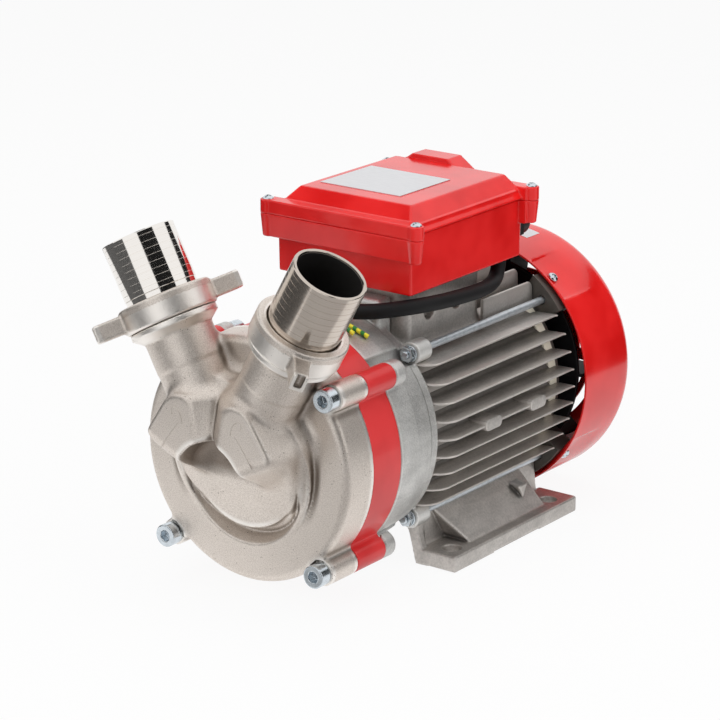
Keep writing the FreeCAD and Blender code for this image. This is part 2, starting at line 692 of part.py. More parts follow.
def impeller():
    """Open star wheel: hub, disc and straight radial blades."""
    hub = rod_y(16.0, IMPELLER_FRONT_Y, IMPELLER_REAR_Y)
    middle = (IMPELLER_FRONT_Y + IMPELLER_REAR_Y) / 2
    disc = rod_y(IMPELLER_R - 9, middle - IMPELLER_DISC_T / 2, middle + IMPELLER_DISC_T / 2)
    blades = []
    for i in range(IMPELLER_BLADES):
        blade = block(12, IMPELLER_R, IMPELLER_FRONT_Y, IMPELLER_REAR_Y,
                      SHAFT_HEIGHT - 1.6, SHAFT_HEIGHT + 1.6)
        blade.rotate(CENTRE, AXIS, 360.0 * i / IMPELLER_BLADES + 15)
        blades.append(blade)
    wheel = joined([hub, disc] + blades)
    keyway = block(-2.5 - FIT, 2.5 + FIT, IMPELLER_FRONT_Y - 1, IMPELLER_REAR_Y + 1,
                   SHAFT_HEIGHT, SHAFT_HEIGHT + PUMP_SHAFT_R + 2.0 + GAP)
    return carved(wheel, [rod_y(PUMP_SHAFT_R + FIT, IMPELLER_FRONT_Y - 1, IMPELLER_REAR_Y + 1), keyway])


def impeller_nut():
    nut = hexagon_y(13.0, IMPELLER_FRONT_Y - IMPELLER_NUT_H, IMPELLER_FRONT_Y, 0, SHAFT_HEIGHT)
    return nut.cut(rod_y(4.0 + FIT, IMPELLER_FRONT_Y - IMPELLER_NUT_H - 1, IMPELLER_FRONT_Y + 1))


def rotor_core():
    return ring_y(ROTOR_R, SHAFT_R + 1 + FIT, CORE_FRONT_Y, CORE_REAR_Y)


def bearing_rings(outer_r, inner_r, y0, width):
    """Outer ring with its shields, and inner ring."""
    split = (outer_r + inner_r) / 2
    outer = ring_y(outer_r, split, y0, y0 + width)
    inner = ring_y(split - 0.4, inner_r + FIT, y0, y0 + width)
    return outer, inner


def stator_core():
    return ring_y(BARREL_R - BARREL_WALL - FIT, STATOR_BORE_R, CORE_FRONT_Y, CORE_REAR_Y)


def stator_windings():
    heads = []
    for y, step in ((CORE_FRONT_Y, -1), (CORE_REAR_Y, 1)):
        outer = WINDING_R
        inner = STATOR_BORE_R + 3
        heads.append(turned([(inner, y), (outer, y), (outer - 1, y + step * WINDING_H * 0.7),
                             (outer - 4, y + step * WINDING_H), (inner + 4, y + step * WINDING_H),
                             (inner + 1, y + step * WINDING_H * 0.7)]))
    return heads


# Motor frame

def fin_outline(tip_x):
    """Plan of one fin: rounded nose, straight edge and pointed rear end."""
    root = FIN_INNER_X
    nose_y = BARREL_FRONT_Y + FIN_NOSE_R
    bend = Vector(tip_x - FIN_NOSE_R * 0.29, BARREL_FRONT_Y + FIN_NOSE_R * 0.29, 0)
    edges = [
        Part.LineSegment(Vector(root, BARREL_FRONT_Y, 0), Vector(tip_x - FIN_NOSE_R, BARREL_FRONT_Y, 0)),
        Part.Arc(Vector(tip_x - FIN_NOSE_R, BARREL_FRONT_Y, 0), bend, Vector(tip_x, nose_y, 0)),
        Part.LineSegment(Vector(tip_x, nose_y, 0), Vector(tip_x, FIN_REAR_Y, 0)),
        Part.LineSegment(Vector(tip_x, FIN_REAR_Y, 0), Vector(root, BARREL_REAR_Y, 0)),
        Part.LineSegment(Vector(root, BARREL_REAR_Y, 0), Vector(root, BARREL_FRONT_Y, 0)),
    ]
    return Part.Face(Part.Wire([edge.toShape() for edge in edges]))


def side_fins():
    """Level fins on both sides, thinner towards their tips."""
    fins = []
    for step in range(-FIN_STEPS, FIN_STEPS + 1):
        height = step * FIN_PITCH
        tip_x = math.sqrt(FIN_TIP_R ** 2 - (abs(height) + FIN_TIP_T / 2) ** 2)
        z = SHAFT_HEIGHT + height
        section = [(FIN_INNER_X, z - FIN_ROOT_T / 2), (tip_x, z - FIN_TIP_T / 2),
                   (tip_x, z + FIN_TIP_T / 2), (FIN_INNER_X, z + FIN_ROOT_T / 2)]
        wedge = prism_y(section, BARREL_FRONT_Y - 1, FIN_REAR_Y + 1)
        plan = fin_outline(tip_x).extrude(Vector(0, 0, 2 * FIN_ROOT_T))
        plan.translate(Vector(0, 0, z - FIN_ROOT_T))
        fin = plan.common(wedge)
        fins += [fin, mirrored_x(fin)]
    return fins


def top_fins():
    """Upright fins behind the pedestal, their upper rear corners rounded."""
    fins = []
    for step in range(-FIN_STEPS, FIN_STEPS + 1):
        x = step * FIN_PITCH
        low = SHAFT_HEIGHT + math.sqrt(BARREL_R ** 2 - x ** 2) - 2 * BARREL_WALL
        top = SHAFT_HEIGHT + math.sqrt(FIN_TIP_R ** 2 - (abs(x) + TOP_FIN_T / 2) ** 2)
        front_y = PEDESTAL_REAR_Y - BARREL_WALL
        rear_y = FIN_REAR_Y - GAP
        outline = [(front_y, low), (rear_y, low), (rear_y, top - TOP_FIN_CORNER),
                   (rear_y - TOP_FIN_CORNER, top), (front_y, top)]
        fins.append(prism_x(outline, x - TOP_FIN_T / 2, x + TOP_FIN_T / 2))
    return fins


def fin_pads():
    """Oval pads that bridge the middle fins on both sides."""
    pads = []
    for y in PAD_Y:
        pad = block(BARREL_R - BARREL_WALL / 2, FIN_TIP_R + PAD_RISE, y - PAD_L / 2, y + PAD_L / 2,
                    SHAFT_HEIGHT - PAD_H / 2, SHAFT_HEIGHT + PAD_H / 2)
        long_edges = [edge for edge in pad.Edges
                      if abs(edge.tangentAt(edge.FirstParameter).x) > 0.99]
        pad = pad.makeFillet(PAD_CORNER_R, long_edges)
        pads += [pad, mirrored_x(pad)]
    return pads


def leg():
    """Right leg: foot plate, sloping cheek, front rib and small gusset."""
    plate_points = [(FOOT_INNER_X, FOOT_FRONT_Y), (FOOT_OUTER_X - FOOT_CHAMFER, FOOT_FRONT_Y),
                    (FOOT_OUTER_X, FOOT_FRONT_Y + FOOT_CHAMFER), (FOOT_OUTER_X, FOOT_REAR_Y - 3),
                    (FOOT_OUTER_X - 3, FOOT_REAR_Y), (FOOT_INNER_X, FOOT_REAR_Y)]
    plate = Part.Face(polygon([Vector(x, y, 0) for x, y in plate_points]))
    plate = plate.extrude(Vector(0, 0, FOOT_THICKNESS))
    relief = block(FOOT_INNER_X - 1, FOOT_OUTER_X + 1, *FOOT_RELIEF_Y, -1, FOOT_RELIEF_H)
    shoulder_z = SHAFT_HEIGHT - ROD_Z - ROD_R - 1.5
    top = (LEG_TOP_X, LEG_TOP_Z)
    knee = (FOOT_INNER_X - 6, shoulder_z + 10)
    cheek = [(FOOT_INNER_X - 4, 0.0), (CHEEK_X, 0.0), (CHEEK_X, FOOT_THICKNESS),
             (ROD_X, shoulder_z), (ROD_X - 6, shoulder_z + 12), top]
    web = prism_y(cheek, *CHEEK_Y)
    rib = prism_y([(FOOT_INNER_X, 0.0), (FOOT_INNER_X + 8, 0.0), (FOOT_INNER_X + 4, FOOT_THICKNESS),
                   (FOOT_INNER_X - 2, shoulder_z), knee, top, (FOOT_INNER_X - 6, 20.0)],
                  FOOT_FRONT_Y, FOOT_FRONT_Y + RIB_T)
    skin = prism_y([(FOOT_INNER_X, 0.0), (FOOT_INNER_X + 3, 0.0), (FOOT_INNER_X, shoulder_z),
                    knee, top, (FOOT_INNER_X - 4, 18.0)], FOOT_FRONT_Y, SHIELD_REAR_Y - GAP)
    y0, y1 = GUSSET_Y
    low = FOOT_THICKNESS + 6
    gusset = prism_x([(y0, low), (y1, low), (y1, shoulder_z - 3), (y1 - 3, shoulder_z - 3)], ROD_X, GUSSET_X)
    return joined([plate, web, rib, skin, gusset]).cut(relief)


def pedestal():
    corner = 7.0
    walls = rounded_block(-PEDESTAL_HALF_X, PEDESTAL_HALF_X, PEDESTAL_FRONT_Y, PEDESTAL_REAR_Y,
                          SHAFT_HEIGHT + BARREL_R - 14, PEDESTAL_TOP_Z, corner)
    return walls


def motor_frame():
    inner_r = BARREL_R - BARREL_WALL
    walls = pedestal()
    right = leg()
    forms = [rod_y(BARREL_R, BARREL_FRONT_Y, BARREL_REAR_Y), walls, right, mirrored_x(right)]
    forms += side_fins() + top_fins() + fin_pads()
    solid = joined(forms)
    cuts = [rod_y(inner_r, BARREL_FRONT_Y - 1, BARREL_REAR_Y + 1),
            rod_y(SHIELD_R + GAP, BARREL_REAR_Y, FIN_REAR_Y + 5),
            block(-PEDESTAL_HALF_X + 5, PEDESTAL_HALF_X - 5, PEDESTAL_FRONT_Y + 5,
                  PEDESTAL_REAR_Y - 5, SHAFT_HEIGHT + BARREL_R + 2, PEDESTAL_TOP_Z + 1),
            rod_y(11.0, BARREL_FRONT_Y, BARREL_FRONT_Y + 1)]
    for y in NOTCHES_Y:
        notch_at = Vector(PEDESTAL_HALF_X - NOTCH_DEPTH, y, SHAFT_HEIGHT + BARREL_R + 3)
        notch = Part.makeCylinder(NOTCH_R, 3.0, notch_at, Vector(1, 0, 0))
        cuts += [notch, mirrored_x(notch)]
    for x, z in rod_places():
        cuts.append(rod_y(ROD_R + SCREW_CLEAR, BARREL_FRONT_Y - 1, FIN_REAR_Y + 5, x, z))
        cuts.append(rod_y(EAR_R + GAP, BARREL_FRONT_Y - 1, EAR_REAR_Y + GAP, x, z))
    for sx in (-1, 1):
        for sy in (-1, 1):
            place = Vector(sx * FOOT_HOLE_SPACING_X / 2, sy * FOOT_HOLE_SPACING_Y / 2, -1)
            cuts.append(Part.makeCylinder(FOOT_HOLE_D / 2, FOOT_THICKNESS + 2, place, UP))
    return carved(solid, cuts)


def tie_rods():
    return [rod_y(ROD_R, EAR_SEAT_Y - ROD_NUT_H - 2, SHIELD_REAR_Y + EAR_PLATE_T + ROD_NUT_H + 2, x, z)
            for x, z in rod_places()]


def tie_rod_nuts():
    nuts = []
    for x, z in rod_places():
        for y in (EAR_SEAT_Y - ROD_NUT_H, SHIELD_REAR_Y + EAR_PLATE_T):
            nut = hexagon_y(ROD_NUT_AF, y, y + ROD_NUT_H, x, z)
            nuts.append(nut.cut(rod_y(ROD_R + FIT, y - 1, y + ROD_NUT_H + 1, x, z)))
    return nuts


# Fan end

def sector(r0, r1, angle0, angle1, y0, y1):
    ring = ring_y(r1, r0, y0, y1)
    middle = math.radians((angle0 + angle1) / 2)
    half = math.radians((angle1 - angle0) / 2)
    reach = 2 * r1
    corners = [(0.0, SHAFT_HEIGHT)]
    for a in (middle - half, middle, middle + half):
        corners.append((reach * math.cos(a), SHAFT_HEIGHT + reach * math.sin(a)))
    return ring.common(prism_y(corners, y0 - 1, y1 + 1))


def rear_shield():
    wall_y = SHIELD_REAR_Y - SHIELD_WALL_T
    rim = ring_y(SHIELD_R, BARREL_R - BARREL_WALL - 3, BARREL_REAR_Y, SHIELD_REAR_Y)
    spigot = ring_y(BARREL_R - BARREL_WALL - FIT, BARREL_R - BARREL_WALL - 3,
                    BARREL_REAR_Y - 4, BARREL_REAR_Y)
    wall = rod_y(SHIELD_R - 1, wall_y, SHIELD_REAR_Y)
    boss = rod_y(REAR_BEARING_R + 6, REAR_BEARING_Y - 1, SHIELD_REAR_Y + 2)
    forms = [rim, spigot, wall, boss]
    ear_r = COVER_FLAT_R - COVER_WALL - GAP
    for angle in COVER_SCREW_ANGLES:
        forms.append(sector(SHIELD_R - 8, ear_r, angle - 15, angle + 5, SHIELD_REAR_Y,
                            SHIELD_REAR_Y + EAR_PLATE_T))
        forms.append(sector(SHIELD_R - 8, ear_r, angle - 5, angle + 5, SHIELD_REAR_Y,
                            COVER_SCREW_Y + 5))
    solid = joined(forms)
    cuts = [rod_y(REAR_BEARING_R + FIT, REAR_BEARING_Y - 2, REAR_BEARING_Y + REAR_BEARING_W),
            rod_y(REAR_JOURNAL_R + 2, REAR_BEARING_Y, SHIELD_REAR_Y + 3)]
    cuts += [rod_y(ROD_R + SCREW_CLEAR, SHIELD_REAR_Y - 1, SHIELD_REAR_Y + EAR_PLATE_T + 1, x, z)
             for x, z in rod_places()]
    for x, z in rod_places():
        cuts.append(rod_y(ROD_NUT_AF / 2 + 1.8, SHIELD_REAR_Y + EAR_PLATE_T, COVER_SCREW_Y + 6, x, z))
    cuts += [radial_bar(COVER_SCREW_R + FIT, COVER_FLAT_R - 7, COVER_FLAT_R + 5, angle)
             for angle in COVER_SCREW_ANGLES]
    return carved(solid, cuts)


def radial_bar(radius, r0, r1, angle):
    """Round bar pointing outwards from the shaft at the cover screws' station."""
    x, z = on_circle(r0, angle)
    a = math.radians(angle)
    return Part.makeCylinder(radius, r1 - r0, Vector(x, COVER_SCREW_Y, z),
                             Vector(math.cos(a), 0, math.sin(a)))


def cover_form(inset):
    """Outer form of the fan cover, drawn in by a wall: rounded rear and four flats."""
    radius = COVER_R - inset
    rear = COVER_REAR_Y - inset
    corner = COVER_ROUND - inset
    front = COVER_FRONT_Y - (1 if inset else 0)
    bend = corner * (1 - math.sqrt(0.5))
    places = [(0, front), (radius, front), (radius, rear - corner), (radius - bend, rear - bend),
              (radius - corner, rear), (0, rear)]
    axis_front, side_front, side_rear, middle, end_rear, axis_rear = [
        Vector(r, y, SHAFT_HEIGHT) for r, y in places]
    edges = [
        Part.LineSegment(axis_front, side_front),
        Part.LineSegment(side_front, side_rear),
        Part.Arc(side_rear, middle, end_rear),
        Part.LineSegment(end_rear, axis_rear),
        Part.LineSegment(axis_rear, axis_front),
    ]
    face = Part.Face(Part.Wire([edge.toShape() for edge in edges]))
    form = face.revolve(CENTRE, AXIS, 360)
    for angle in COVER_SCREW_ANGLES:
        flat = block(COVER_FLAT_R - inset, COVER_R + 5, front - 1, COVER_FLAT_END_Y + inset,
                     SHAFT_HEIGHT - COVER_FLAT_HALF_Z, SHAFT_HEIGHT + COVER_FLAT_HALF_Z)
        flat.rotate(CENTRE, AXIS, -angle)
        form = form.cut(flat)
    return form


def fan_cover():
    cover = cover_form(0).cut(cover_form(COVER_WALL))
    slots = []
    for ring in range(SLOT_RINGS):
        r0 = SLOT_INNER_R + ring * SLOT_PITCH
        for i in range(SLOTS_ROUND):
            turn = 360.0 * i / SLOTS_ROUND
            slots.append(sector(r0, r0 + SLOT_W, turn + SLOT_BAR, turn + 360.0 / SLOTS_ROUND - SLOT_BAR,
                                COVER_REAR_Y - COVER_WALL - 1, COVER_REAR_Y + 1))
    slots += [radial_bar(COVER_SCREW_R + SCREW_CLEAR, COVER_FLAT_R - 7, COVER_FLAT_R + 5, angle)
              for angle in COVER_SCREW_ANGLES]
    return carved(cover, slots)


def fan_cover_screws():
    screws = []
    for angle in COVER_SCREW_ANGLES:
        head = radial_bar(COVER_SCREW_HEAD_R, COVER_FLAT_R, COVER_FLAT_R + COVER_SCREW_HEAD_H, angle)
        screws.append(head.fuse(radial_bar(COVER_SCREW_R, COVER_FLAT_R - 6, COVER_FLAT_R, angle)))
    return screws


def cooling_fan():
    hub = rod_y(13.0, FAN_FRONT_Y, FAN_FRONT_Y + 18)
    disc = rod_y(FAN_DISC_R, FAN_FRONT_Y, FAN_FRONT_Y + 2)
    blades = []
    for i in range(FAN_BLADES):
        blade = block(11, FAN_R, FAN_FRONT_Y, FAN_REAR_Y, SHAFT_HEIGHT - 1, SHAFT_HEIGHT + 1)
        blade.rotate(CENTRE, AXIS, 360.0 * i / FAN_BLADES)
        blades.append(blade)
    fan = joined([hub, disc] + blades)
    return fan.cut(rod_y(FAN_SHAFT_R + FIT, FAN_FRONT_Y - 1, FAN_REAR_Y + 1))


# Terminal box

def boss_places():
    return [(sx * (BOX_HALF_X + BOSS_OUT_X), y) for sx in (-1, 1)
            for y in (BOX_FRONT_Y - BOSS_OUT_Y, BOX_REAR_Y + BOSS_OUT_Y)]


def corner_bosses(z0, z1, foot_r, top_r):
    bosses = []
    for x, y in boss_places():
        sx = 1 if x > 0 else -1
        sy = 1 if y > 0 else -1
        bosses.append(turned_z([(0, 0), (foot_r, 0), (top_r, z1 - z0), (0, z1 - z0)]))
        bosses[-1].translate(Vector(x, y, z0))
        web_x = sorted((sx * (BOX_HALF_X - 1), x))
        web_y = sorted((y + sy * (foot_r - 0.5), y - sy * BOSS_WEB))
        bosses.append(block(web_x[0], web_x[1], web_y[0], web_y[1], z0, z1))
    return bosses


def terminal_box():
    outer = block(-BOX_HALF_X, BOX_HALF_X, BOX_FRONT_Y, BOX_REAR_Y, PEDESTAL_TOP_Z, BOX_TOP_Z)
    solid = joined([outer] + corner_bosses(BOSS_FOOT_Z, BOX_TOP_Z, 3.2, BOSS_R))
    inside = block(-BOX_HALF_X + BOX_WALL, BOX_HALF_X - BOX_WALL, BOX_FRONT_Y + BOX_WALL,
                   BOX_REAR_Y - BOX_WALL, PEDESTAL_TOP_Z + BOX_FLOOR, BOX_TOP_Z + 1)
    cuts = [inside]
    cuts += [Part.makeCylinder(LID_SCREW_R + FIT, 20, Vector(x, y, BOX_TOP_Z - LID_SCREW_IN), UP)
             for x, y in boss_places()]
    hole_at = Vector(CORD_ROUTE[0][0], CORD_ROUTE[0][1], PEDESTAL_TOP_Z - 1)
    cuts.append(Part.makeCylinder(GROMMET_R + FIT, BOX_FLOOR + 2, hole_at, UP))
    cuts.append(rod_y(GLAND_R + FIT, BOX_REAR_Y - 5, BOX_REAR_Y + 1, GLAND_X, GLAND_Z))
    cuts.append(block(-WIRE_HOLE_X, WIRE_HOLE_X, *WIRE_HOLE_Y, PEDESTAL_TOP_Z - 1, PEDESTAL_TOP_Z + 4))
    return carved(solid, cuts)


def lid_form(inset):
    """Lid: upright rim, then four faces sloping to a flat top."""
    low = BOX_TOP_Z - (1 if inset else 0)
    bx, y0, y1 = BOX_HALF_X - inset, BOX_FRONT_Y + inset, BOX_REAR_Y - inset
    rim = block(-bx, bx, y0, y1, low, LID_RIM_Z - inset)
    tx, t0, t1 = LID_TOP_HALF_X - inset, LID_TOP_FRONT_Y + inset, LID_TOP_REAR_Y - inset
    wires = []
    for hx, ya, yb, z in ((bx, y0, y1, LID_RIM_Z - inset), (tx, t0, t1, LID_TOP_Z - inset)):
        wires.append(polygon([Vector(-hx, ya, z), Vector(hx, ya, z), Vector(hx, yb, z), Vector(-hx, yb, z)]))
    return rim.fuse(Part.makeLoft(wires, True, True)).removeSplitter()


def housing_form(inset):
    """Raised switch housing at the rear of the lid, with sloping cheeks."""
    run = 1 / math.tan(math.radians(HOUSING_SLOPE))
    top = HOUSING_TOP_Z - inset
    foot = BOX_TOP_Z
    x0, x1 = HOUSING_TOP_X[0] + inset * 0.5, HOUSING_TOP_X[1] - inset * 0.5
    spread = min((top - foot) * run, 18.0)
    knee = top - spread / run
    outline = [(x0, top), (x1, top), (x1 + spread, knee), (x1 + spread, foot),
               (x0 - spread, foot), (x0 - spread, knee)]
    front = HOUSING_FRONT_Y + (inset if inset else 0)
    return prism_y(outline, front, HOUSING_REAR_Y - inset)


def switch_centre():
    return (HOUSING_TOP_X[0] + HOUSING_TOP_X[1]) / 2, (BOX_TOP_Z + HOUSING_TOP_Z) / 2 + 0.4


def terminal_box_lid():
    outer = joined([lid_form(0), housing_form(0)] + corner_bosses(BOX_TOP_Z, BOSS_TOP_Z, BOSS_R, BOSS_R))
    floor = block(-BOX_HALF_X - 1, BOX_HALF_X + 1, BOX_REAR_Y, HOUSING_REAR_Y + 1,
                  BOX_TOP_Z - 1, BOX_TOP_Z + 2)
    cavity = housing_form(2.0).cut(floor)
    cx, cz = switch_centre()
    cuts = [lid_form(2.2), cavity]
    cuts.append(block(cx - SWITCH_W / 2 - FIT, cx + SWITCH_W / 2 + FIT, HOUSING_REAR_Y - 4,
                      HOUSING_REAR_Y + 1, cz - SWITCH_H / 2 - FIT, cz + SWITCH_H / 2 + FIT))
    cuts += [Part.makeCylinder(LID_SCREW_R + SCREW_CLEAR, BOSS_UP + 2, Vector(x, y, BOX_TOP_Z - 1), UP)
             for x, y in boss_places()]
    return carved(outer, cuts)


def lid_gasket():
    outer = block(-BOX_HALF_X + BOX_WALL, BOX_HALF_X - BOX_WALL, BOX_FRONT_Y + BOX_WALL,
                  BOX_REAR_Y - BOX_WALL, BOX_TOP_Z - LID_GASKET_T, BOX_TOP_Z)
    inner = block(-BOX_HALF_X + BOX_WALL + 2, BOX_HALF_X - BOX_WALL - 2, BOX_FRONT_Y + BOX_WALL + 2,
                  BOX_REAR_Y - BOX_WALL - 2, BOX_TOP_Z - LID_GASKET_T - 1, BOX_TOP_Z + 1)
    return outer.cut(inner)


def lid_screws():
    screws = []
    for x, y in boss_places():
        foot = Vector(x, y, BOX_TOP_Z - LID_SCREW_IN)
        shank = Part.makeCylinder(LID_SCREW_R, BOSS_UP + LID_SCREW_IN, foot, UP)
        head = Part.makeCone(3.5, 2.4, 1.8, Vector(x, y, BOSS_TOP_Z), UP)
        slot = block(x - 4, x + 4, y - 0.5, y + 0.5, BOSS_TOP_Z + 0.9, BOSS_TOP_Z + 3)
        screws.append(shank.fuse(head).cut(slot))
    return screws


def rating_plate():
    return block(PLATE_X[0], PLATE_X[1], PLATE_Y[0], PLATE_Y[1], LID_TOP_Z, LID_TOP_Z + PLATE_T)


def terminal_board():
    floor = PEDESTAL_TOP_Z + BOX_FLOOR
    board = block(-BOARD_HALF_X, BOARD_HALF_X, *BOARD_Y, floor, floor + BOARD_T)
    middle_y = sum(BOARD_Y) / 2
    studs = []
    for ix in (-STUD_STEP_X, 0, STUD_STEP_X):
        for iy in (-STUD_STEP_Y / 2, STUD_STEP_Y / 2):
            foot = Vector(ix, middle_y + iy, floor + BOARD_T - 1)
            studs.append(Part.makeCylinder(STUD_R, STUD_H, foot, UP))
    return joined([board] + studs)


def run_capacitor():
    """Lies on the floor of the box, its axis along the shaft direction."""
    x, y = CAPACITOR_AT
    return rod_y(CAPACITOR_R, y, y + CAPACITOR_L, x, PEDESTAL_TOP_Z + BOX_FLOOR + CAPACITOR_R)


def box_gland():
    """Cable gland at the back of the box: locknut, thread, body and cap."""
    forms = [hexagon_y(GLAND_AF, BOX_REAR_Y, BOX_REAR_Y + 5, GLAND_X, GLAND_Z, 30),
             rod_y(GLAND_R, BOX_REAR_Y - BOX_WALL - 6, BOX_REAR_Y, GLAND_X, GLAND_Z),
             rod_y(GLAND_R + 0.5, BOX_REAR_Y + 5, BOX_REAR_Y + 13, GLAND_X, GLAND_Z)]
    return joined(forms)


def cord_grommet():
    """Rubber grommet in the box floor, with a collar inside, round the lead."""
    x, y, _ = CORD_ROUTE[0]
    body = Part.makeCylinder(GROMMET_R, BOX_FLOOR, Vector(x, y, PEDESTAL_TOP_Z), UP)
    collar_at = Vector(x, y, PEDESTAL_TOP_Z + BOX_FLOOR)
    collar = Part.makeCylinder(GROMMET_COLLAR_R, GROMMET_COLLAR_H, collar_at, UP)
    hole = Part.makeCylinder(CORD_R + FIT, BOX_FLOOR + 9, Vector(x, y, PEDESTAL_TOP_Z - 1), UP)
    return body.fuse(collar).removeSplitter().cut(hole)


def switch_body():
    cx, cz = switch_centre()
    y = HOUSING_REAR_Y
    bezel = block(cx - SWITCH_W / 2 - 1.2, cx + SWITCH_W / 2 + 1.2, y, y + 1.6,
                  cz - SWITCH_H / 2 - 1.2, cz + SWITCH_H / 2 + 1.2)
    well = block(cx - SWITCH_W / 2, cx + SWITCH_W / 2, y - 9, y, cz - SWITCH_H / 2, cz + SWITCH_H / 2)
    mouth = block(cx - SWITCH_W / 2 + 1.2, cx + SWITCH_W / 2 - 1.2, y - 6.5, y + 3,
                  cz - SWITCH_H / 2 + 1.2, cz + SWITCH_H / 2 - 1.2)
    pin_hole = Part.makeCylinder(ROCKER_PIN_R + FIT, SWITCH_H - 0.6,
                                 Vector(cx, y - ROCKER_PIN_IN, cz - SWITCH_H / 2 + 0.3), UP)
    return bezel.fuse(well).cut(mouth).cut(pin_hole).removeSplitter()


def switch_rocker():
    """Two-way rocker, tilted to its off side; it turns about an upright pin."""
    cx, cz = switch_centre()
    y = HOUSING_REAR_Y
    half = SWITCH_W / 2 - 1.8
    outline = [(-half, y + 2.0), (0, y + 0.9), (half, y + 2.0), (half - 1.2, y - 3.4), (0, y - 4.6),
               (-half + 1.2, y - 3.4)]
    wire = polygon([Vector(cx + u, v, cz - SWITCH_H / 2 + 1.5) for u, v in outline])
    rocker = Part.Face(wire).extrude(Vector(0, 0, SWITCH_H - 3.0))
    rocker.rotate(Vector(cx, y - ROCKER_PIN_IN, cz), UP, ROCKER_TILT)
    pin = Part.makeCylinder(ROCKER_PIN_R, SWITCH_H - 1.2,
                            Vector(cx, y - ROCKER_PIN_IN, cz - SWITCH_H / 2 + 0.6), UP)
    return rocker.fuse(pin).removeSplitter()


# Supply lead

def tube_along(route, radius):
    """Tube of straight runs joined by tangent arcs, each as large as its runs allow."""
    points = [Vector(*p) for p in route]
    edges = []
    start = points[0]
    for before, corner, after in zip(points, points[1:], points[2:]):
        run = min((corner - before).Length, (after - corner).Length)
        d0 = (corner - before).normalize()
        d1 = (after - corner).normalize()
        turn = d0.getAngle(d1)
        bend_r = 0.45 * run / math.tan(turn / 2)
        print("bend radius %.1f" % bend_r)
        p0 = corner - d0 * (0.45 * run)
        p1 = corner + d1 * (0.45 * run)
        inward = (d1 - d0).normalize()
        middle = corner + inward * (bend_r / math.cos(turn / 2) - bend_r)
        edges.append(Part.LineSegment(start, p0).toShape())
        edges.append(Part.Arc(p0, middle, p1).toShape())
        start = p1
    edges.append(Part.LineSegment(start, points[-1]).toShape())
    path = Part.Wire(edges)
    first = (points[1] - points[0]).normalize()
    section = Part.Wire([Part.makeCircle(radius, points[0], first)])
    tube = path.makePipeShell([section], True, False)
    print("length %.1f, volume over section %.1f" % (path.Length, tube.Volume / (math.pi * radius ** 2)))
    return tube


def supply_cord():
    return tube_along(CORD_ROUTE, CORD_R)


def supply_cores():
    """Three stripped cores that leave the end of the lead and lie on the bracket."""
    end = Vector(*CORD_ROUTE[-1])
    routes = [
        [(end.x, end.y, end.z - CORE_OFFSET), (16.0, -92.6, 149.6), (13.0, -97.6, 150.2),
         (17.5, -101.5, 149.6), (26.5, -99.0, 146.8), (36.0, -95.5, 141.3)],
        [(end.x - 0.7, end.y + 1.2, end.z + 1.6), (14.5, -91.5, 153.0), (8.0, -96.5, 152.6),
         (7.0, -103.5, 151.9)],
        [(end.x + 0.9, end.y - 1.6, end.z + 1.3), (17.5, -95.0, 152.6), (18.0, -100.5, 151.4),
         (25.0, -104.5, 147.8), (32.0, -103.5, 144.2)],
    ]
    sheath = supply_cord()
    return [tube_along(route, CORE_R).cut(sheath) for route in routes]


def save(name, shape):
    solids = shape if isinstance(shape, list) else [shape]
    whole = Part.makeCompound(solids) if len(solids) > 1 else solids[0]
    if not whole.isValid():
        print("NOT VALID", name)
    print("%-22s solids %d  volume %.0f" % (name, len(whole.Solids), whole.Volume))
    whole.exportStep("parts/%s.step" % name)


def main():
    os.makedirs("parts", exist_ok=True)
    save("pump_casing", pump_casing())
    save("casing_screws", casing_screws())
    for side in ("left", "right"):
        save("hose_tail_" + side, hose_tail(side))
        save("wing_nut_" + side, wing_nut(side))
        save("port_seal_" + side, port_seal(side))
    save("pump_ring", pump_ring())
    save("casing_seal_ring", seal_ring(RING_FRONT_Y, RING_FRONT_Y + O_RING_T))
    save("bracket_seal_ring", seal_ring(BRACKET_FRONT_Y - O_RING_T, BRACKET_FRONT_Y))
    save("wear_plate", wear_plate())
    save("motor_bracket", motor_bracket())
    save("seal_seat", seal_seat())
    save("seal_rotor", seal_rotor())
    save("shaft", shaft())
    save("impeller_key", impeller_key())
    save("impeller", impeller())
    save("impeller_nut", impeller_nut())
    save("rotor_core", rotor_core())
    outer, inner = bearing_rings(FRONT_BEARING_R, SHAFT_R, FRONT_BEARING_Y, FRONT_BEARING_W)
    save("front_bearing_outer", outer)
    save("front_bearing_inner", inner)
    outer, inner = bearing_rings(REAR_BEARING_R, REAR_JOURNAL_R, REAR_BEARING_Y, REAR_BEARING_W)
    save("rear_bearing_outer", outer)
    save("rear_bearing_inner", inner)
    save("stator_core", stator_core())
    save("stator_windings", stator_windings())
    save("motor_frame", motor_frame())
    save("tie_rods", tie_rods())
    save("tie_rod_nuts", tie_rod_nuts())
    save("rear_shield", rear_shield())
    save("fan_cover", fan_cover())
    save("fan_cover_screws", fan_cover_screws())
    save("cooling_fan", cooling_fan())
    save("terminal_box", terminal_box())
    save("terminal_box_lid", terminal_box_lid())
    save("lid_gasket", lid_gasket())
    save("lid_screws", lid_screws())
    save("rating_plate", rating_plate())
    save("terminal_board", terminal_board())
    save("run_capacitor", run_capacitor())
    save("box_gland", box_gland())
    save("cord_grommet", cord_grommet())
    save("switch_body", switch_body())
    save("switch_rocker", switch_rocker())
    save("supply_cord", supply_cord())
    save("supply_cores", supply_cores())


main()
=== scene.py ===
import json
import math

import bpy
import numpy as np
from mathutils import Matrix, Vector


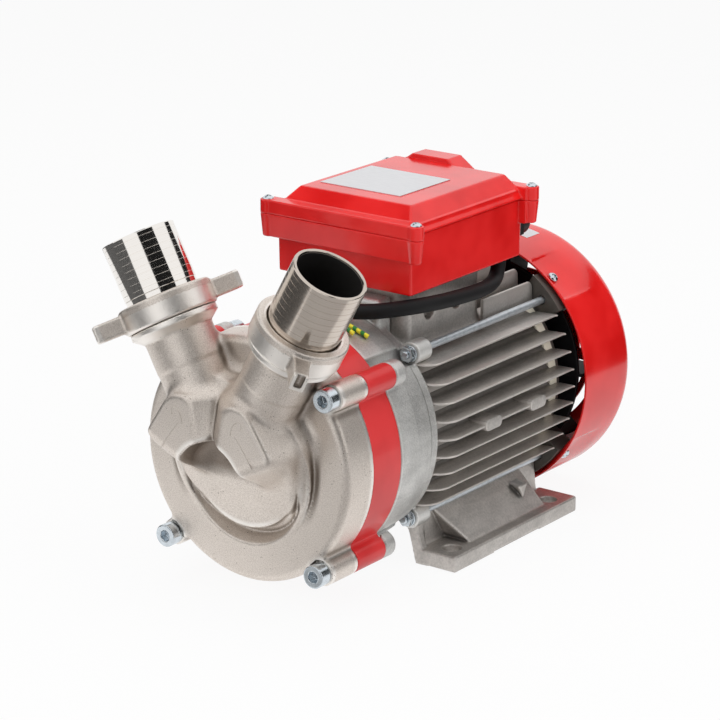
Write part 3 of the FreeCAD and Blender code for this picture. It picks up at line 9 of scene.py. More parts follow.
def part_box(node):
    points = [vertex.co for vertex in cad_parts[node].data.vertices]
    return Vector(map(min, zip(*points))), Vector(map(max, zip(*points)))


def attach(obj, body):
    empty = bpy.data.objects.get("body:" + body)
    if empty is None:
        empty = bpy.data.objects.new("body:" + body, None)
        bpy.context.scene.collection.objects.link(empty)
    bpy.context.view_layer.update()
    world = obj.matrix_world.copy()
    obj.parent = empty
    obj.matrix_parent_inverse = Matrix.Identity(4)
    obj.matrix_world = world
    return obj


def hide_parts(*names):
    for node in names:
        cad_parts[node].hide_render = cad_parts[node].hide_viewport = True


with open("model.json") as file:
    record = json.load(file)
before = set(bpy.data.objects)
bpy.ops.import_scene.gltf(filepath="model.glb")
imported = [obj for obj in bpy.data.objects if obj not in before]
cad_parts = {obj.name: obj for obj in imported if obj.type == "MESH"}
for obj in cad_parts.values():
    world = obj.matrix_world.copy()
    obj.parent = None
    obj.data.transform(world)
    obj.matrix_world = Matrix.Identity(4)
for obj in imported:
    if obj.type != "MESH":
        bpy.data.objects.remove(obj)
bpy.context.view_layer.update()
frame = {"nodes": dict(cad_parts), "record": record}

# Looks of an electric transfer pump, in the frame of the construction: X to the right seen
# from the pump head, Y along the shaft towards the fan, Z up. Meshes are in metres, and the
# forms behind them are worked out in millimetres.

MM = 0.001
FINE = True

# Places that the pieces share, in millimetres; AXIS is the shaft's height over the floor
AXIS = 80
FACE_Y = -160
RING_FRONT_Y, RING_REAR_Y = (corner.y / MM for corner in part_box("pump_ring"))
PORT_Y = -169
PORT_LEAN = math.radians(29)
LUG_R = 7.5
LUG_SEAT_Y, REAR_LUG_SEAT_Y = -159, -149
BRACKET_FRONT_Y, BRACKET_LUG_Y = -109.7, -99.5
ROD_FRONT_Y = -73


def round_shaft(turn, radius):
    """X and height over the shaft of a place, from its turn in degrees and its radius round it."""
    angle = math.radians(turn)
    return radius * math.cos(angle), radius * math.sin(angle)


SCREW_PLACES = [round_shaft(turn, 75) for turn in (38.7, -134.0, -46.0)]
REAR_SCREW_PLACE = round_shaft(141.3, 75)
LUG_PLACES = SCREW_PLACES + [REAR_SCREW_PLACE]
ROD_PLACES = [(sx * 48.2, sz * 48.5) for sx in (-1, 1) for sz in (-1, 1)]


# Shader expressions

class Value:
    """One socket of a node tree. The operators add its Math nodes."""

    def __init__(self, tree, socket):
        self.tree = tree
        self.socket = socket

    def math(self, operation, other, clamp=False):
        """A Math node on this value and another, or a plain number."""
        return self.tree.node("Math", {"operation": operation, "use_clamp": clamp}, {0: self, 1: other})

    def __add__(self, other):
        return self.math("ADD", other)

    def __radd__(self, other):
        return self.math("ADD", other)

    def __sub__(self, other):
        return self.math("SUBTRACT", other)

    def __rsub__(self, other):
        return self.tree.node("Math", {"operation": "SUBTRACT"}, {0: other, 1: self})

    def __mul__(self, other):
        return self.math("MULTIPLY", other)

    def __rmul__(self, other):
        return self.math("MULTIPLY", other)

    def clamp(self):
        """The value held between 0 and 1."""
        return self.math("ADD", 0.0, clamp=True)

    def step(self, low, high):
        """Smooth rise from 0 at low to 1 at high."""
        return self.tree.node("MapRange", {"interpolation_type": "SMOOTHSTEP"},
                              {"Value": self, "From Min": low, "From Max": high})


class Tree:
    """The nodes of one material or of the world."""

    def __init__(self, owner):
        owner.use_nodes = True
        self.made = owner
        self.nodes = owner.node_tree.nodes
        self.links = owner.node_tree.links

    def feed(self, socket, value):
        """Links a node's value to a socket, or writes a number, place or colour into it."""
        if isinstance(value, Value):
            self.links.new(value.socket, socket)
        else:
            socket.default_value = (*value, 1) if socket.type == "RGBA" else value

    def node(self, kind, settings=None, inputs=None, output=0):
        """Any node: its type, its settings, and the values or links of its sockets."""
        made = self.nodes.new("ShaderNode" + kind)
        for key, value in (settings or {}).items():
            setattr(made, key, value)
        for key, value in (inputs or {}).items():
            self.feed(made.inputs[key], value)
        return Value(self, made.outputs[output])


class Finish(Tree):
    """A material built round one Principled shader."""

    def __init__(self, name, colour, roughness=0.5, metallic=0.0):
        super().__init__(bpy.data.materials.new(name))
        self.made.diffuse_color = (*colour, 1)
        self.set("Base Color", colour)
        self.set("Roughness", roughness)
        self.set("Metallic", metallic)

    def set(self, socket, value):
        """Feeds one socket of the shader, given by its name."""
        self.feed(self.nodes["Principled BSDF"].inputs[socket], value)

    def at(self, scale=(1, 1, 1), shift=(0, 0, 0)):
        """Object coordinates in millimetres, stretched and shifted."""
        place = self.node("TexCoord", output=3)
        scale = tuple(s / MM for s in scale)
        return self.node("Mapping", None, {"Vector": place, "Scale": scale, "Location": shift})

    def noise(self, size, detail=2.0, rough=0.5, at=None):
        """Noise from 0 to 1, its lumps about size millimetres across."""
        return self.node("TexNoise", None, {"Vector": at or self.at(), "Scale": 1.0 / size,
                                            "Detail": detail, "Roughness": rough})

    def specks(self, spacing):
        """Distance to the nearest of scattered points so many millimetres apart."""
        return self.node("TexVoronoi", None, {"Vector": self.at(), "Scale": 1.0 / spacing})

    def painted(self, name):
        """A number that the mesh carries at each of its points."""
        return self.node("Attribute", {"attribute_name": name}, output=2)

    def mix(self, low, high, share):
        """Colour between low and high."""
        return self.node("Mix", {"data_type": "RGBA"}, {0: share, 6: low, 7: high}, output=2)

    def bump(self, height, depth, under=None):
        """Normal of a relief depth millimetres high."""
        inputs = {"Height": height, "Strength": 1.0, "Distance": depth * MM}
        if under is not None:
            inputs["Normal"] = under
        return self.node("Bump", None, inputs)

    def soft_edges(self, radius):
        """Normal that rounds the edges of machined pieces by radius millimetres."""
        return self.node("Bevel", {"samples": 4}, {"Radius": radius * MM})

    def dress(self, piece):
        """Gives the whole piece this finish. A curve has no polygons to set."""
        piece.data.materials.clear()
        piece.data.materials.append(self.made)
        if hasattr(piece.data, "polygons"):
            piece.data.polygons.foreach_set("material_index", [0] * len(piece.data.polygons))


def rgb(*shown):
    """Colour written as it shows, turned to linear light."""
    return tuple(((c / 255 + 0.055) / 1.055) ** 2.4 if c > 10 else c / 255 / 12.92 for c in shown)


def toned(colour, factor, lift=0.0):
    """The colour made darker or lighter, at most white."""
    return tuple(min(1, c * factor + lift) for c in colour)


# Meshes from arrays

def mesh_piece(name, points, quads, normals=None):
    """Smooth mesh object from an array of points and an array of four-cornered faces."""
    points = np.asarray(points, np.float32)
    quads = np.asarray(quads, np.int32)
    mesh = bpy.data.meshes.new(name)
    mesh.vertices.add(len(points))
    mesh.vertices.foreach_set("co", points.ravel())
    mesh.loops.add(quads.size)
    mesh.loops.foreach_set("vertex_index", quads.ravel())
    mesh.polygons.add(len(quads))
    mesh.polygons.foreach_set("loop_start", np.arange(0, quads.size, 4, dtype=np.int32))
    mesh.polygons.foreach_set("use_smooth", np.ones(len(quads), bool))
    mesh.update()
    mesh.validate()
    if normals is not None:
        mesh.normals_split_custom_set_from_vertices(normals.astype(np.float32))
    piece = bpy.data.objects.new(name, mesh)
    bpy.context.scene.collection.objects.link(piece)
    return piece


def paint(piece, name, values):
    """Gives every point of a mesh its own number, which the finishes read by name."""
    attribute = piece.data.attributes.new(name, "FLOAT", "POINT")
    attribute.data.foreach_set("value", np.asarray(values, np.float32))


# Distance fields: each takes arrays of X, Y and Z and gives the distance to a form,
# below zero inside it

def union(a, b, fillet=0.0):
    """The smaller of two fields, with a hollow fillet where both are small."""
    if np.isscalar(fillet) and not fillet:
        return np.minimum(a, b)
    share = np.clip(0.5 + 0.5 * (b - a) / fillet, 0, 1)
    return b + (a - b) * share - fillet * share * (1 - share)


def common(a, b, rounding=0.0):
    """The larger of two fields, with the edge between them rounded off."""
    return -union(-a, -b, rounding)


def cut(a, b, rounding=0.0):
    """Form a without form b."""
    return common(a, -b, rounding)


def slab(u, low, high):
    """Everything between two planes."""
    return np.abs(u - (low + high) / 2) - (high - low) / 2


def rod(u, v, radius, centre=(0, 0)):
    """Endless round bar: the distance from its centre in u and v, less its radius."""
    return np.hypot(u - centre[0], v - centre[1]) - radius


def capped(side, ends, rounding):
    """A bar with ends: both fields are kept, with a true round edge between them."""
    a, b = side + rounding, ends + rounding
    return np.minimum(np.maximum(a, b), 0) + np.hypot(np.maximum(a, 0), np.maximum(b, 0)) - rounding


def brick(x, y, z, low, high, rounding):
    """Block between two corners with all its edges rounded."""
    q = [np.abs(u - (a + b) / 2) - (b - a) / 2 + rounding for u, a, b in zip((x, y, z), low, high)]
    outside = np.sqrt(sum(np.maximum(u, 0) ** 2 for u in q))
    return outside + np.minimum(np.maximum(np.maximum(q[0], q[1]), q[2]), 0) - rounding


def half_space(x, y, z, point, outward):
    """Everything behind a plane through a point."""
    normal = np.array(outward, float) / np.linalg.norm(outward)
    return (x - point[0]) * normal[0] + (y - point[1]) * normal[1] + (z - point[2]) * normal[2]


def outline_distance(u, v, corners):
    """Distance to a closed outline of straight sides, below zero inside it: the nearest
    point of each side in turn, and the sign from how often a ray crosses the sides."""
    corners = [np.array(c, float) for c in corners]
    nearest = np.full(np.broadcast(u, v).shape, np.inf, np.float32)
    inside = np.zeros(nearest.shape, bool)
    for a, b in zip(corners, corners[1:] + corners[:1]):
        edge = b - a
        along = np.clip(((u - a[0]) * edge[0] + (v - a[1]) * edge[1]) / (edge @ edge), 0, 1)
        nearest = np.minimum(nearest, np.hypot(u - a[0] - along * edge[0], v - a[1] - along * edge[1]))
        crosses = (a[1] > v) != (b[1] > v)
        if edge[1]:
            inside ^= crosses & (u < a[0] + edge[0] * (v - a[1]) / edge[1])
    return np.where(inside, -nearest, nearest)


def crossed_cells(values, inside):
    """The grid cells that the surface crosses, the mean of where it crosses each one's edges,
    from 0 to 1 in the cell, and the cells' numbers, -1 where there is none."""
    counts = inside.shape
    number = sum(inside[i:counts[0] - 1 + i, j:counts[1] - 1 + j, k:counts[2] - 1 + k].astype(np.int8)
                 for i in (0, 1) for j in (0, 1) for k in (0, 1))
    crossed = (number > 0) & (number < 8)
    cells = np.argwhere(crossed)
    index = np.full(crossed.shape, -1, np.int32)
    index[crossed] = np.arange(len(cells))
    total = np.zeros((len(cells), 3))
    hits = np.zeros(len(cells))
    for axis in range(3):
        for a in (0, 1):
            for b in (0, 1):
                start = np.roll((0, a, b), axis)
                end = np.roll((1, a, b), axis)
                v0 = values[tuple((cells + start).T)]
                v1 = values[tuple((cells + end).T)]
                hit = (v0 < 0) != (v1 < 0)
                share = np.where(hit, v0 / np.where(hit, v0 - v1, 1), 0)
                total[hit] += start + share[hit, None] * (end - start)
                hits += hit
    return cells, total / hits[:, None], index


def crossed_faces(inside, index):
    """One face for each grid edge that the surface crosses, through the points of the four cells
    round it, turned outwards."""
    quads = []
    for axis in range(3):
        u, v = (axis + 1) % 3, (axis + 2) % 3
        lower = [slice(None)] * 3
        upper = [slice(None)] * 3
        lower[axis], upper[axis] = slice(None, -1), slice(1, None)
        before = inside[tuple(lower)]
        edges = np.argwhere(before != inside[tuple(upper)])
        edges = edges[(edges[:, u] > 0) & (edges[:, v] > 0)
                      & (edges[:, u] < inside.shape[u] - 1) & (edges[:, v] < inside.shape[v] - 1)]
        ring = []
        for du, dv in ((0, 0), (-1, 0), (-1, -1), (0, -1)):
            cell = edges.copy()
            cell[:, u] += du
            cell[:, v] += dv
            ring.append(index[tuple(cell.T)])
        quad = np.stack(ring, 1)
        outward = before[tuple(edges.T)]
        quad[~outward] = quad[~outward][:, ::-1]
        quads.append(quad)
    return np.concatenate(quads)


def field_piece(name, field, low, high, step, look=4 * MM, solid=None):
    """Closed surface where a field is zero, from a grid over its box. The points of the crossed
    cells move onto the surface along the field's slope. 'hollow' and 'edge' say how far the
    surface round a point rises before it or falls away behind it, within the look distance,
    measured on the solid's field where one is given."""
    margin = 2.5 * step
    low = np.array(low, float) - margin
    counts = np.ceil((np.array(high, float) + margin - low) / step).astype(int) + 1
    axes = [(low[i] + step * np.arange(counts[i])).astype(np.float32) for i in range(3)]
    values = field(*np.meshgrid(*axes, indexing="ij", sparse=True)).astype(np.float32)
    values = np.broadcast_to(values, counts)
    inside = values < 0
    cells, middles, index = crossed_cells(values, inside)
    quads = crossed_faces(inside, index)
    points = low + (cells + middles) * step
    for _ in range(2):
        normals, size = slope(field, points, step * 0.25)
        move = np.clip(field(*points.T) / np.maximum(size, 0.3), -0.4 * step, 0.4 * step)
        points = points - normals * move[:, None]
    normals, size = slope(field, points, step * 0.25)
    piece = mesh_piece(name, points, quads, normals)
    solid = solid or field
    before = solid(*(points + normals * look).T) / look
    behind = -solid(*(points - normals * look).T) / look
    # The finishes paint shade from 'hollow' and lighten edges from 'edge', mostly as painted highlight.
    paint(piece, "hollow", np.clip(1 - before, 0, 1))
    paint(piece, "edge", np.clip(1 - behind, 0, 1))
    return piece


def slope(field, points, reach):
    """Unit normals of a field and how fast it changes, from differences either side."""
    columns = []
    for axis in range(3):
        shift = np.zeros(3)
        shift[axis] = reach
        columns.append((field(*(points + shift).T) - field(*(points - shift).T)) / (2 * reach))
    gradient = np.stack(columns, 1)
    size = np.linalg.norm(gradient, axis=1)
    return gradient / np.maximum(size, 1e-6)[:, None], size


def turned_piece(name, profile, turns, cut_back):
    """Surface of turning about local Z: profile is a closed section of (radius, height), and
    cut_back(angle, height, radius) gives the radius where it isn't round."""
    profile = np.array(profile, float)
    angle = np.linspace(0, 2 * math.pi, turns, endpoint=False)
    radius = np.broadcast_to(profile[:, 0:1], (len(profile), turns))
    radius = cut_back(angle[None, :], profile[:, 1:2], radius)
    height = np.broadcast_to(profile[:, 1:2], radius.shape)
    points = np.stack([radius * np.cos(angle), radius * np.sin(angle), height], -1).reshape(-1, 3)
    i, j = np.meshgrid(np.arange(len(profile)), np.arange(turns), indexing="ij")
    i2, j2 = (i + 1) % len(profile), (j + 1) % turns
    quads = np.stack([i * turns + j, i * turns + j2, i2 * turns + j2, i2 * turns + j], -1)
    return mesh_piece(name, points, quads.reshape(-1, 4))


def settle(piece, finish, body, slot, *replaced):
    """Dresses a piece and says what it rides on and the nodes that it stands for. Its slot is not used.
    """
    finish.dress(piece)
    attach(piece, body)
    if replaced:
        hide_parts(*replaced)


def port_matrix(side):
    """From a port's own axes, Z outwards along it, to the frame."""
    sign = 1 if side == "right" else -1
    return (Matrix.Translation((0, PORT_Y * MM, AXIS * MM))
            @ Matrix.Rotation(sign * PORT_LEAN, 4, "Y"))


def port_axes(x, y, w):
    """Places in the right port's own axes: across in the leaning plane, to the rear, along."""
    c, s = math.cos(PORT_LEAN), math.sin(PORT_LEAN)
    return x * c - w * s, y - PORT_Y, x * s + w * c


def off_shaft(x, y, z):
    """Places in metres turned to millimetres: across, along the shaft, up from it, and out."""
    x, y, w = x / MM, y / MM, (z - AXIS * MM) / MM
    return x, y, w, np.hypot(x, w)


# Finishes

def cast_nickel():
    """Satin nickel on a sand casting: grain, pits, painted edge highlights, painted shade in hollows."""
    f = Finish("cast_nickel", rgb(198, 189, 180), metallic=1.0)
    hollow, edge = f.painted("hollow"), f.painted("edge")
    grain = f.noise(0.6, detail=3, rough=0.7)
    speck = f.noise(0.55, detail=2, rough=0.6)
    blotch = f.noise(26, detail=2)
    pits = f.specks(2.0).step(0.2, 0.06) * f.noise(8, detail=1).step(0.56, 0.66)
    warm = f.mix(rgb(202, 191, 181), rgb(247, 239, 231), blotch * 0.3 + speck.step(0.3, 0.7) * 0.7)
    # Painted highlight: edges mixed towards near white.
    bright = f.mix(warm, rgb(252, 247, 241), edge.step(0.25, 0.7) * 0.9)
    # Painted shade: hollows mixed towards dark brown; the pits are the casting's own.
    dull = f.mix(bright, rgb(98, 82, 68), (hollow.step(0.06, 0.6) * 0.75 + pits * 0.8).clamp())
    f.set("Base Color", dull)
    rough = grain * 0.12 + blotch * 0.06 + 0.33 - edge.step(0.2, 0.7) * 0.1 + pits * 0.3
    f.set("Roughness", rough.clamp())
    f.set("Normal", f.bump(grain * 0.9 + speck * 0.5 - pits * 1.4, 0.13))
    return f


def polished_chrome(name, polish, colour):
    """Plated tube: bright outside with fine turning lines, painted shade dark and dull in the bore."""
    f = Finish(name, colour, polish, 1.0)
    inside, along = f.painted("inside"), f.painted("along")
    smear = f.noise(8, detail=3)
    lines = f.node("TexNoise", {"noise_dimensions": "1D"}, {"W": along, "Scale": 3.0, "Detail": 3.0})
    bright = f.mix(toned(colour, 1 - polish), colour, lines.step(0.35, 0.6))
    # Painted shade: the bore is near black and not metallic.
    f.set("Base Color", f.mix(bright, rgb(17, 15, 14), inside))
    f.set("Metallic", 1 - inside)
    f.set("Roughness", smear.step(0.4, 0.8) * 0.05 + lines * polish * 0.5 + polish * 0.8 + inside * 0.5)
    return f


def painted_red(name, colour, roughness, relief):
    """Red paint or glossy moulding with slight orange peel, a little paler in patches."""
    f = Finish(name, colour, roughness)
    f.set("Coat Weight", 0.2)
    f.set("Coat Roughness", 0.05)
    peel = f.noise(2.2, detail=2)
    patch = f.noise(30, detail=2)
    f.set("Base Color", f.mix(toned(colour, 0.88), toned(colour, 1.06, 0.01), patch.step(0.3, 0.7)))
    f.set("Roughness", patch * 0.06 + (roughness - 0.03))
    f.set("Normal", f.bump(peel, relief, f.soft_edges(0.5)))
    return f


def cast_aluminium(name, tone, grain_size, relief, roughness):
    """Bare die casting: cool grey, mottled; edges lighter (wear and painted highlight), painted shade in
    hollows.
    """
    f = Finish(name, tone, roughness, 0.85)
    hollow, edge = f.painted("hollow"), f.painted("edge")
    grain = f.noise(grain_size, detail=4, rough=0.7)
    cloud = f.noise(18, detail=3)
    flow = f.noise(7, detail=2, at=f.at(scale=(1, 0.25, 1)))
    mottle = (cloud * 0.3 + flow * 0.25 + grain * 0.45).step(0.34, 0.66)
    base = f.mix(toned(tone, 0.74), toned(tone, 1.18), mottle)
    # Edges lighter: partly rubbed wear, partly painted highlight.
    base = f.mix(base, toned(tone, 1.5), edge.step(0.4, 0.9) * 0.55)
    # Painted shade: hollows, such as the fin roots, mixed towards near black.
    f.set("Base Color", f.mix(base, toned(tone, 0.2), hollow.step(0.35, 1.0) * 0.65))
    f.set("Roughness", grain * 0.16 + (roughness - 0.08))
    f.set("Normal", f.bump(grain, relief, f.soft_edges(0.4)))
    return f


def rear_casting():
    """Grey casting with a turned band where the frame's end fits, painted near white as a reflection."""
    f = Finish("rear_casting", rgb(120, 116, 111), 0.5, 0.8)
    place = f.at(scale=(1, 0, 1), shift=(0, 0, -AXIS))
    radius = f.node("VectorMath", {"operation": "LENGTH"}, {0: place}, output=1)
    rear = f.node("SeparateXYZ", None, {0: f.at()}, output=1)
    band = radius.step(60.5, 60.9) * rear.step(57.6, 57.0)
    cloud = f.noise(9, detail=3)
    grey = f.mix(rgb(88, 84, 80), rgb(128, 124, 118), cloud)
    # Painted reflection: the band is near white and mostly not metallic, bright even in shade.
    f.set("Base Color", f.mix(grey, rgb(246, 240, 222), band))
    f.set("Roughness", 0.55 - band * 0.2)
    f.set("Metallic", 0.8 - band * 0.7)
    f.set("Normal", f.soft_edges(0.4))
    return f


def plated_steel(name, colour, roughness):
    """Zinc plating: bluish, slightly clouded, with soft edges and painted shade in hollows."""
    f = Finish(name, colour, roughness, 1.0)
    cloud = f.noise(3.5, detail=3)
    plated = f.mix(toned(colour, 0.86), colour, cloud.step(0.3, 0.65))
    # Painted shade: hollows such as the screw sockets mixed towards near black.
    f.set("Base Color", f.mix(plated, rgb(30, 34, 38), f.painted("hollow").step(0.4, 0.9) * 0.7))
    f.set("Roughness", cloud * 0.12 + (roughness - 0.06))
    f.set("Normal", f.soft_edges(0.25))
    return f


def moulded(name, colour, roughness):
    """Plain moulded plastic, rubber or ceramic with a fine grain."""
    f = Finish(name, colour, roughness)
    grain = f.noise(1.2, detail=3, rough=0.6)
    cloud = f.noise(12, detail=2)
    f.set("Base Color", f.mix(toned(colour, 0.8), toned(colour, 1.25), cloud.step(0.3, 0.7)))
    f.set("Roughness", cloud * 0.12 + (roughness - 0.06))
    f.set("Normal", f.bump(grain, 0.03, f.soft_edges(0.3)))
    f.set("Specular IOR Level", 0.3)
    return f


def machined(name, colour, roughness):
    """Turned or ground metal with fine lines along the shaft."""
    f = Finish(name, colour, roughness, 1.0)
    lines = f.noise(0.4, detail=1, at=f.at(scale=(1, 0.02, 1)))
    f.set("Base Color", f.mix(toned(colour, 0.82), colour, lines))
    f.set("Roughness", lines * 0.12 + (roughness - 0.05))
    f.set("Normal", f.bump(lines, 0.01, f.soft_edges(0.3)))
    return f


def laminations():
    """Edges of stacked steel sheets, dark between them."""
    f = Finish("laminations", rgb(120, 118, 116), 0.45, 0.9)
    sheet = f.node("TexWave", {"bands_direction": "Y"}, {"Vector": f.at(), "Scale": 0.32}, 1)
    f.set("Base Color", f.mix(rgb(62, 60, 58), rgb(150, 147, 143), sheet.step(0.1, 0.5)))
    f.set("Normal", f.bump(sheet, 0.08))
    return f


def wound_copper():
    """Varnished copper wire wound round the shaft line."""
    f = Finish("wound_copper", rgb(176, 96, 48), 0.32, 0.75)
    strand = f.node("TexWave", {"wave_type": "RINGS", "rings_direction": "Y"},
                    {"Vector": f.at(shift=(0, 0, -AXIS)), "Scale": 0.25, "Distortion": 1.5,
                     "Detail": 2.0, "Detail Scale": 0.2}, 1)
    f.set("Base Color", f.mix(rgb(96, 44, 20), rgb(205, 122, 66), strand.step(0.2, 0.7)))
    f.set("Normal", f.bump(strand, 0.25))
    return f


def core_insulation():
    """Green wire insulation with broad yellow stripes."""
    f = Finish("core_insulation", rgb(214, 200, 40), 0.35)
    wave = {"Vector": f.at(), "Scale": 0.075, "Distortion": 0.6}
    stripe = f.node("TexWave", {"bands_direction": "X"}, wave, 1)
    f.set("Base Color", f.mix(rgb(38, 120, 52), rgb(226, 214, 52), stripe.step(0.45, 0.5)))
    f.set("Normal", f.bump(f.noise(0.6), 0.02))
    return f


def bare_plate():
    """Brushed silver plate, its face left blank."""
    f = Finish("bare_plate", rgb(214, 214, 216), 0.34, 0.6)
    brushed = f.noise(0.5, detail=2, at=f.at(scale=(0.06, 1, 1)))
    f.set("Base Color", f.mix(rgb(196, 196, 199), rgb(228, 228, 230), brushed))
    f.set("Roughness", brushed * 0.15 + 0.26)
    f.set("Normal", f.bump(brushed, 0.01, f.soft_edges(0.1)))
    return f


# Pump casing

PAD_Y = -192.5
ARM_CORNER = (43.9, PAD_Y, 14.9)
ARM_WALL = (0.96, -0.10, -0.28)
DISC_R, DOME_R = 70, 48
PORT_R, PORT_BORE_R = 19, 15
ARCH_R, ARCH_DROP = 21.5, 3.6
PLATE_TILT = math.radians(23.3)


def casing_arm(u, v, w):
    """One raised arm in millimetres, u to its own side, v along the shaft, w up from the shaft.
    It is where leaning planes meet: the flat pad, its drafted sides and the end below it."""
    pad = half_space(u, v, w, ARM_CORNER, (0, -1, 0))
    ridge = common(half_space(u, v, w, ARM_CORNER, (0.834, -0.22, 0.552)),
                   half_space(u, v, w, (18, PAD_Y, 42.3), (-0.20, -0.35, 0.915)), 9.0)
    wall = half_space(u, v, w, ARM_CORNER, ARM_WALL)
    inner = half_space(u, v, w, (10, PAD_Y, 31), (-0.66, -0.74, 0.12))
    end = common(half_space(u, v, w, ARM_CORNER, (0.369, -0.492, -0.789)),
                 half_space(u, v, w, (19, -167.5, -8.4), (-0.245, -0.389, -0.888)), 4.0)
    sides = common(common(ridge, wall, 5.0), inner, 4.0)
    return common(common(pad, sides, 2.0), end, 5.0)


def tilted_plate(u, v, w):
    """Flat wedge below the arms; its lower edge, an arc, lies below the casing's face."""
    face = half_space(u, v, w, (0, FACE_Y, -25), (0, -math.cos(PLATE_TILT), -math.sin(PLATE_TILT)))
    wall = half_space(u, v, w, ARM_CORNER, ARM_WALL)
    plate = common(face, np.hypot(u, w) - 42.6, 2.4)
    return common(common(plate, wall, 5.0), w - 14, 6.0)


def casing_field(x, y, z, bores=True):
    """Disc with a rounded shoulder, leaning dome, two ports with their arms, the arched hollow
    between them, the tilted plate below it and the crescent recess that the plate leaves."""
    x, y, w, radius = off_shaft(x, y, z)
    disc = capped(radius - DISC_R, slab(y, FACE_Y, RING_FRONT_Y + 30), 4.5)
    for place in LUG_PLACES:
        seat = REAR_LUG_SEAT_Y if place == REAR_SCREW_PLACE else LUG_SEAT_Y
        disc = union(disc, capped(rod(x, w, LUG_R, place), slab(y, seat, RING_FRONT_Y + 20), 0.8), 5)
    dome_top = np.interp(w, [-33, -25, 12, 48], [-159.9, -161.4, -166.0, -173.0])
    form = union(disc, common(radius - DOME_R, dome_top - y, 1.6), 1.4)
    recess = common(rod(x, w + 8.2, 39.6) + 0.58 * (y - FACE_Y), y + 151, 2.5)
    form = cut(form, common(recess, 38.5 - radius), 1.3)
    side = np.sqrt(x * x + 0.8)
    across, rear, along = port_axes(side, y, w)
    tube = common(rod(across, rear, PORT_R + 0.02 * np.clip(58 - along, 0, 40)), 20 - along, 2)
    arms = union(casing_arm(side, y, w), common(tube, along - 78), 4.0)
    arms = union(arms, tilted_plate(side, y, w), 5.0)
    form = union(form, arms, 1.5 + 4.5 * np.clip((w + 26) / 12, 0, 1))
    bowl = capped(rod(x, w + ARCH_DROP, ARCH_R), slab(y, -240, -166.5), 13)
    form = cut(form, bowl, 1.6)
    flare = PORT_R + 1.3 * np.clip(along - 77.5, 0, 4.5)
    collar = common(rod(across, rear, flare), slab(along, 60, 84), 1.5)
    collar = union(collar, capped(rod(across, rear, 25), slab(along, 82, 85.5), 0.7), 0.5)
    form = union(form, collar, 1.5)
    for place in SCREW_PLACES:
        form = cut(form, np.maximum(rod(x, w, 7.3, place), y - LUG_SEAT_Y), 0.4)
    if bores:
        form = cut(form, capped(radius - 54.5, slab(y, -146, -100), 3), 0.5)
        form = cut(form, np.maximum(rod(across, rear, PORT_BORE_R), 24 - along), 0.8)
    return common(form, y - RING_FRONT_Y, 0.8) * MM


def adjust_painted_shade(casing):
    """Adjusts the painted shade that 'hollow' carries: in the crescent it falls to a third, and on
    the roof of the arched hollow, which the arch shades, it is at least 0.6."""
    count = len(casing.data.vertices)
    place, hollow = np.empty(3 * count), np.empty(count)
    casing.data.vertices.foreach_get("co", place)
    casing.data.attributes["hollow"].data.foreach_get("value", hollow)
    x, y, w, radius = off_shaft(*place.reshape(-1, 3).T)
    hollow[(w < -12) & (y > FACE_Y - 0.2) & (radius < DOME_R + 1)] *= 0.3
    # Painted shade on the roof of the arched hollow, darkest towards its top.
    roof = np.clip((w + 13) / 12, 0, 1) * (rod(x, w + ARCH_DROP, ARCH_R) < 0.3) * (y > PAD_Y + 1)
    casing.data.attributes["hollow"].data.foreach_set("value", np.maximum(hollow, 0.6 * roof))


FLOW_LINES = [
    [(16.7, 26.3), (17.2, 30.2), (19.2, 33.4), (22.8, 35.6), (24.2, 33.2), (23.6, 30.6)],
    [(19.8, 26.0), (22.6, 22.6), (26.0, 18.0), (28.7, 14.4), (31.2, 10.4)],
]


def flow_marks(nickel):
    """Fine raised lines on both pads: an arrow's head and shaft that point to each port."""
    for number, line in enumerate(FLOW_LINES, 1):
        for sign in (1, -1):
            route = [(sign * x, PAD_Y + 0.05, AXIS + w) for x, w in line]
            name = "flow_mark_%d_%s" % (number, "right" if sign > 0 else "left")
            settle(line_piece(name, route, 0.55 * MM), nickel, "pump_unit", "nickel_casting")


RING_R, RING_BORE_R = 69.5, 55.2


def lugs(x, w, y, front, rear, rounding):
    """Four round lugs for the casing screws, bars cut off between two planes."""
    ends = slab(y, front, rear)
    return np.minimum.reduce([capped(rod(x, w, LUG_R, place), ends, rounding) for place in LUG_PLACES])


def ring_field(x, y, z):
    """Flat ring between casing and bracket, with the four lugs, open inside."""
    x, y, w, radius = off_shaft(x, y, z)
    form = capped(radius - RING_R, slab(y, RING_FRONT_Y, RING_REAR_Y), 0.8)
    form = union(form, lugs(x, w, y, RING_FRONT_Y, RING_REAR_Y, 0.8), 3.5)
    return np.maximum(form, RING_BORE_R - radius) * MM


def bracket_field(x, y, z):
    """Bracket behind the ring: a drum that narrows behind its parting line, lugs with domed ends,
    four ears for the tie rods with room for their nuts, a shelf on top, and a hollow inside."""
    x, y, w, radius = off_shaft(x, y, z)
    outer = np.interp(y, [BRACKET_FRONT_Y, -93, -79, -76.4, -70], [RING_R, RING_R, 67.9, 66.1, 66.0])
    form = capped(radius - outer, slab(y, BRACKET_FRONT_Y, -70), 0.8)
    form = union(form, lugs(x, w, y, BRACKET_FRONT_Y, BRACKET_LUG_Y, 2.5), 4.0)
    for place in ROD_PLACES:
        form = union(form, capped(rod(x, w, 6.5, place), slab(y, ROD_FRONT_Y, -60), 0.9), 1.5)
        form = cut(form, np.maximum(rod(x, w, 5.9, place), y - ROD_FRONT_Y), 0.6)
        form = cut(form, rod(x, w, 2.7, place))
    shelf = brick(x, y, w, (-29, -77, 40), (29, -63.3, 76), 3)
    form = union(form, shelf, 3)
    hollow = capped(radius - 53, slab(y, -100.7, -40), 2)
    form = cut(form, np.maximum(hollow, np.where(y < -82, 27 - radius, -1e3)))
    form = cut(form, np.maximum(radius - 20.1, -96 - y))
    form = cut(form, radius - 15)
    form = cut(form, np.maximum(rod(x, w, 7.2, REAR_SCREW_PLACE), BRACKET_LUG_Y - y), 0.4)
    return form * MM


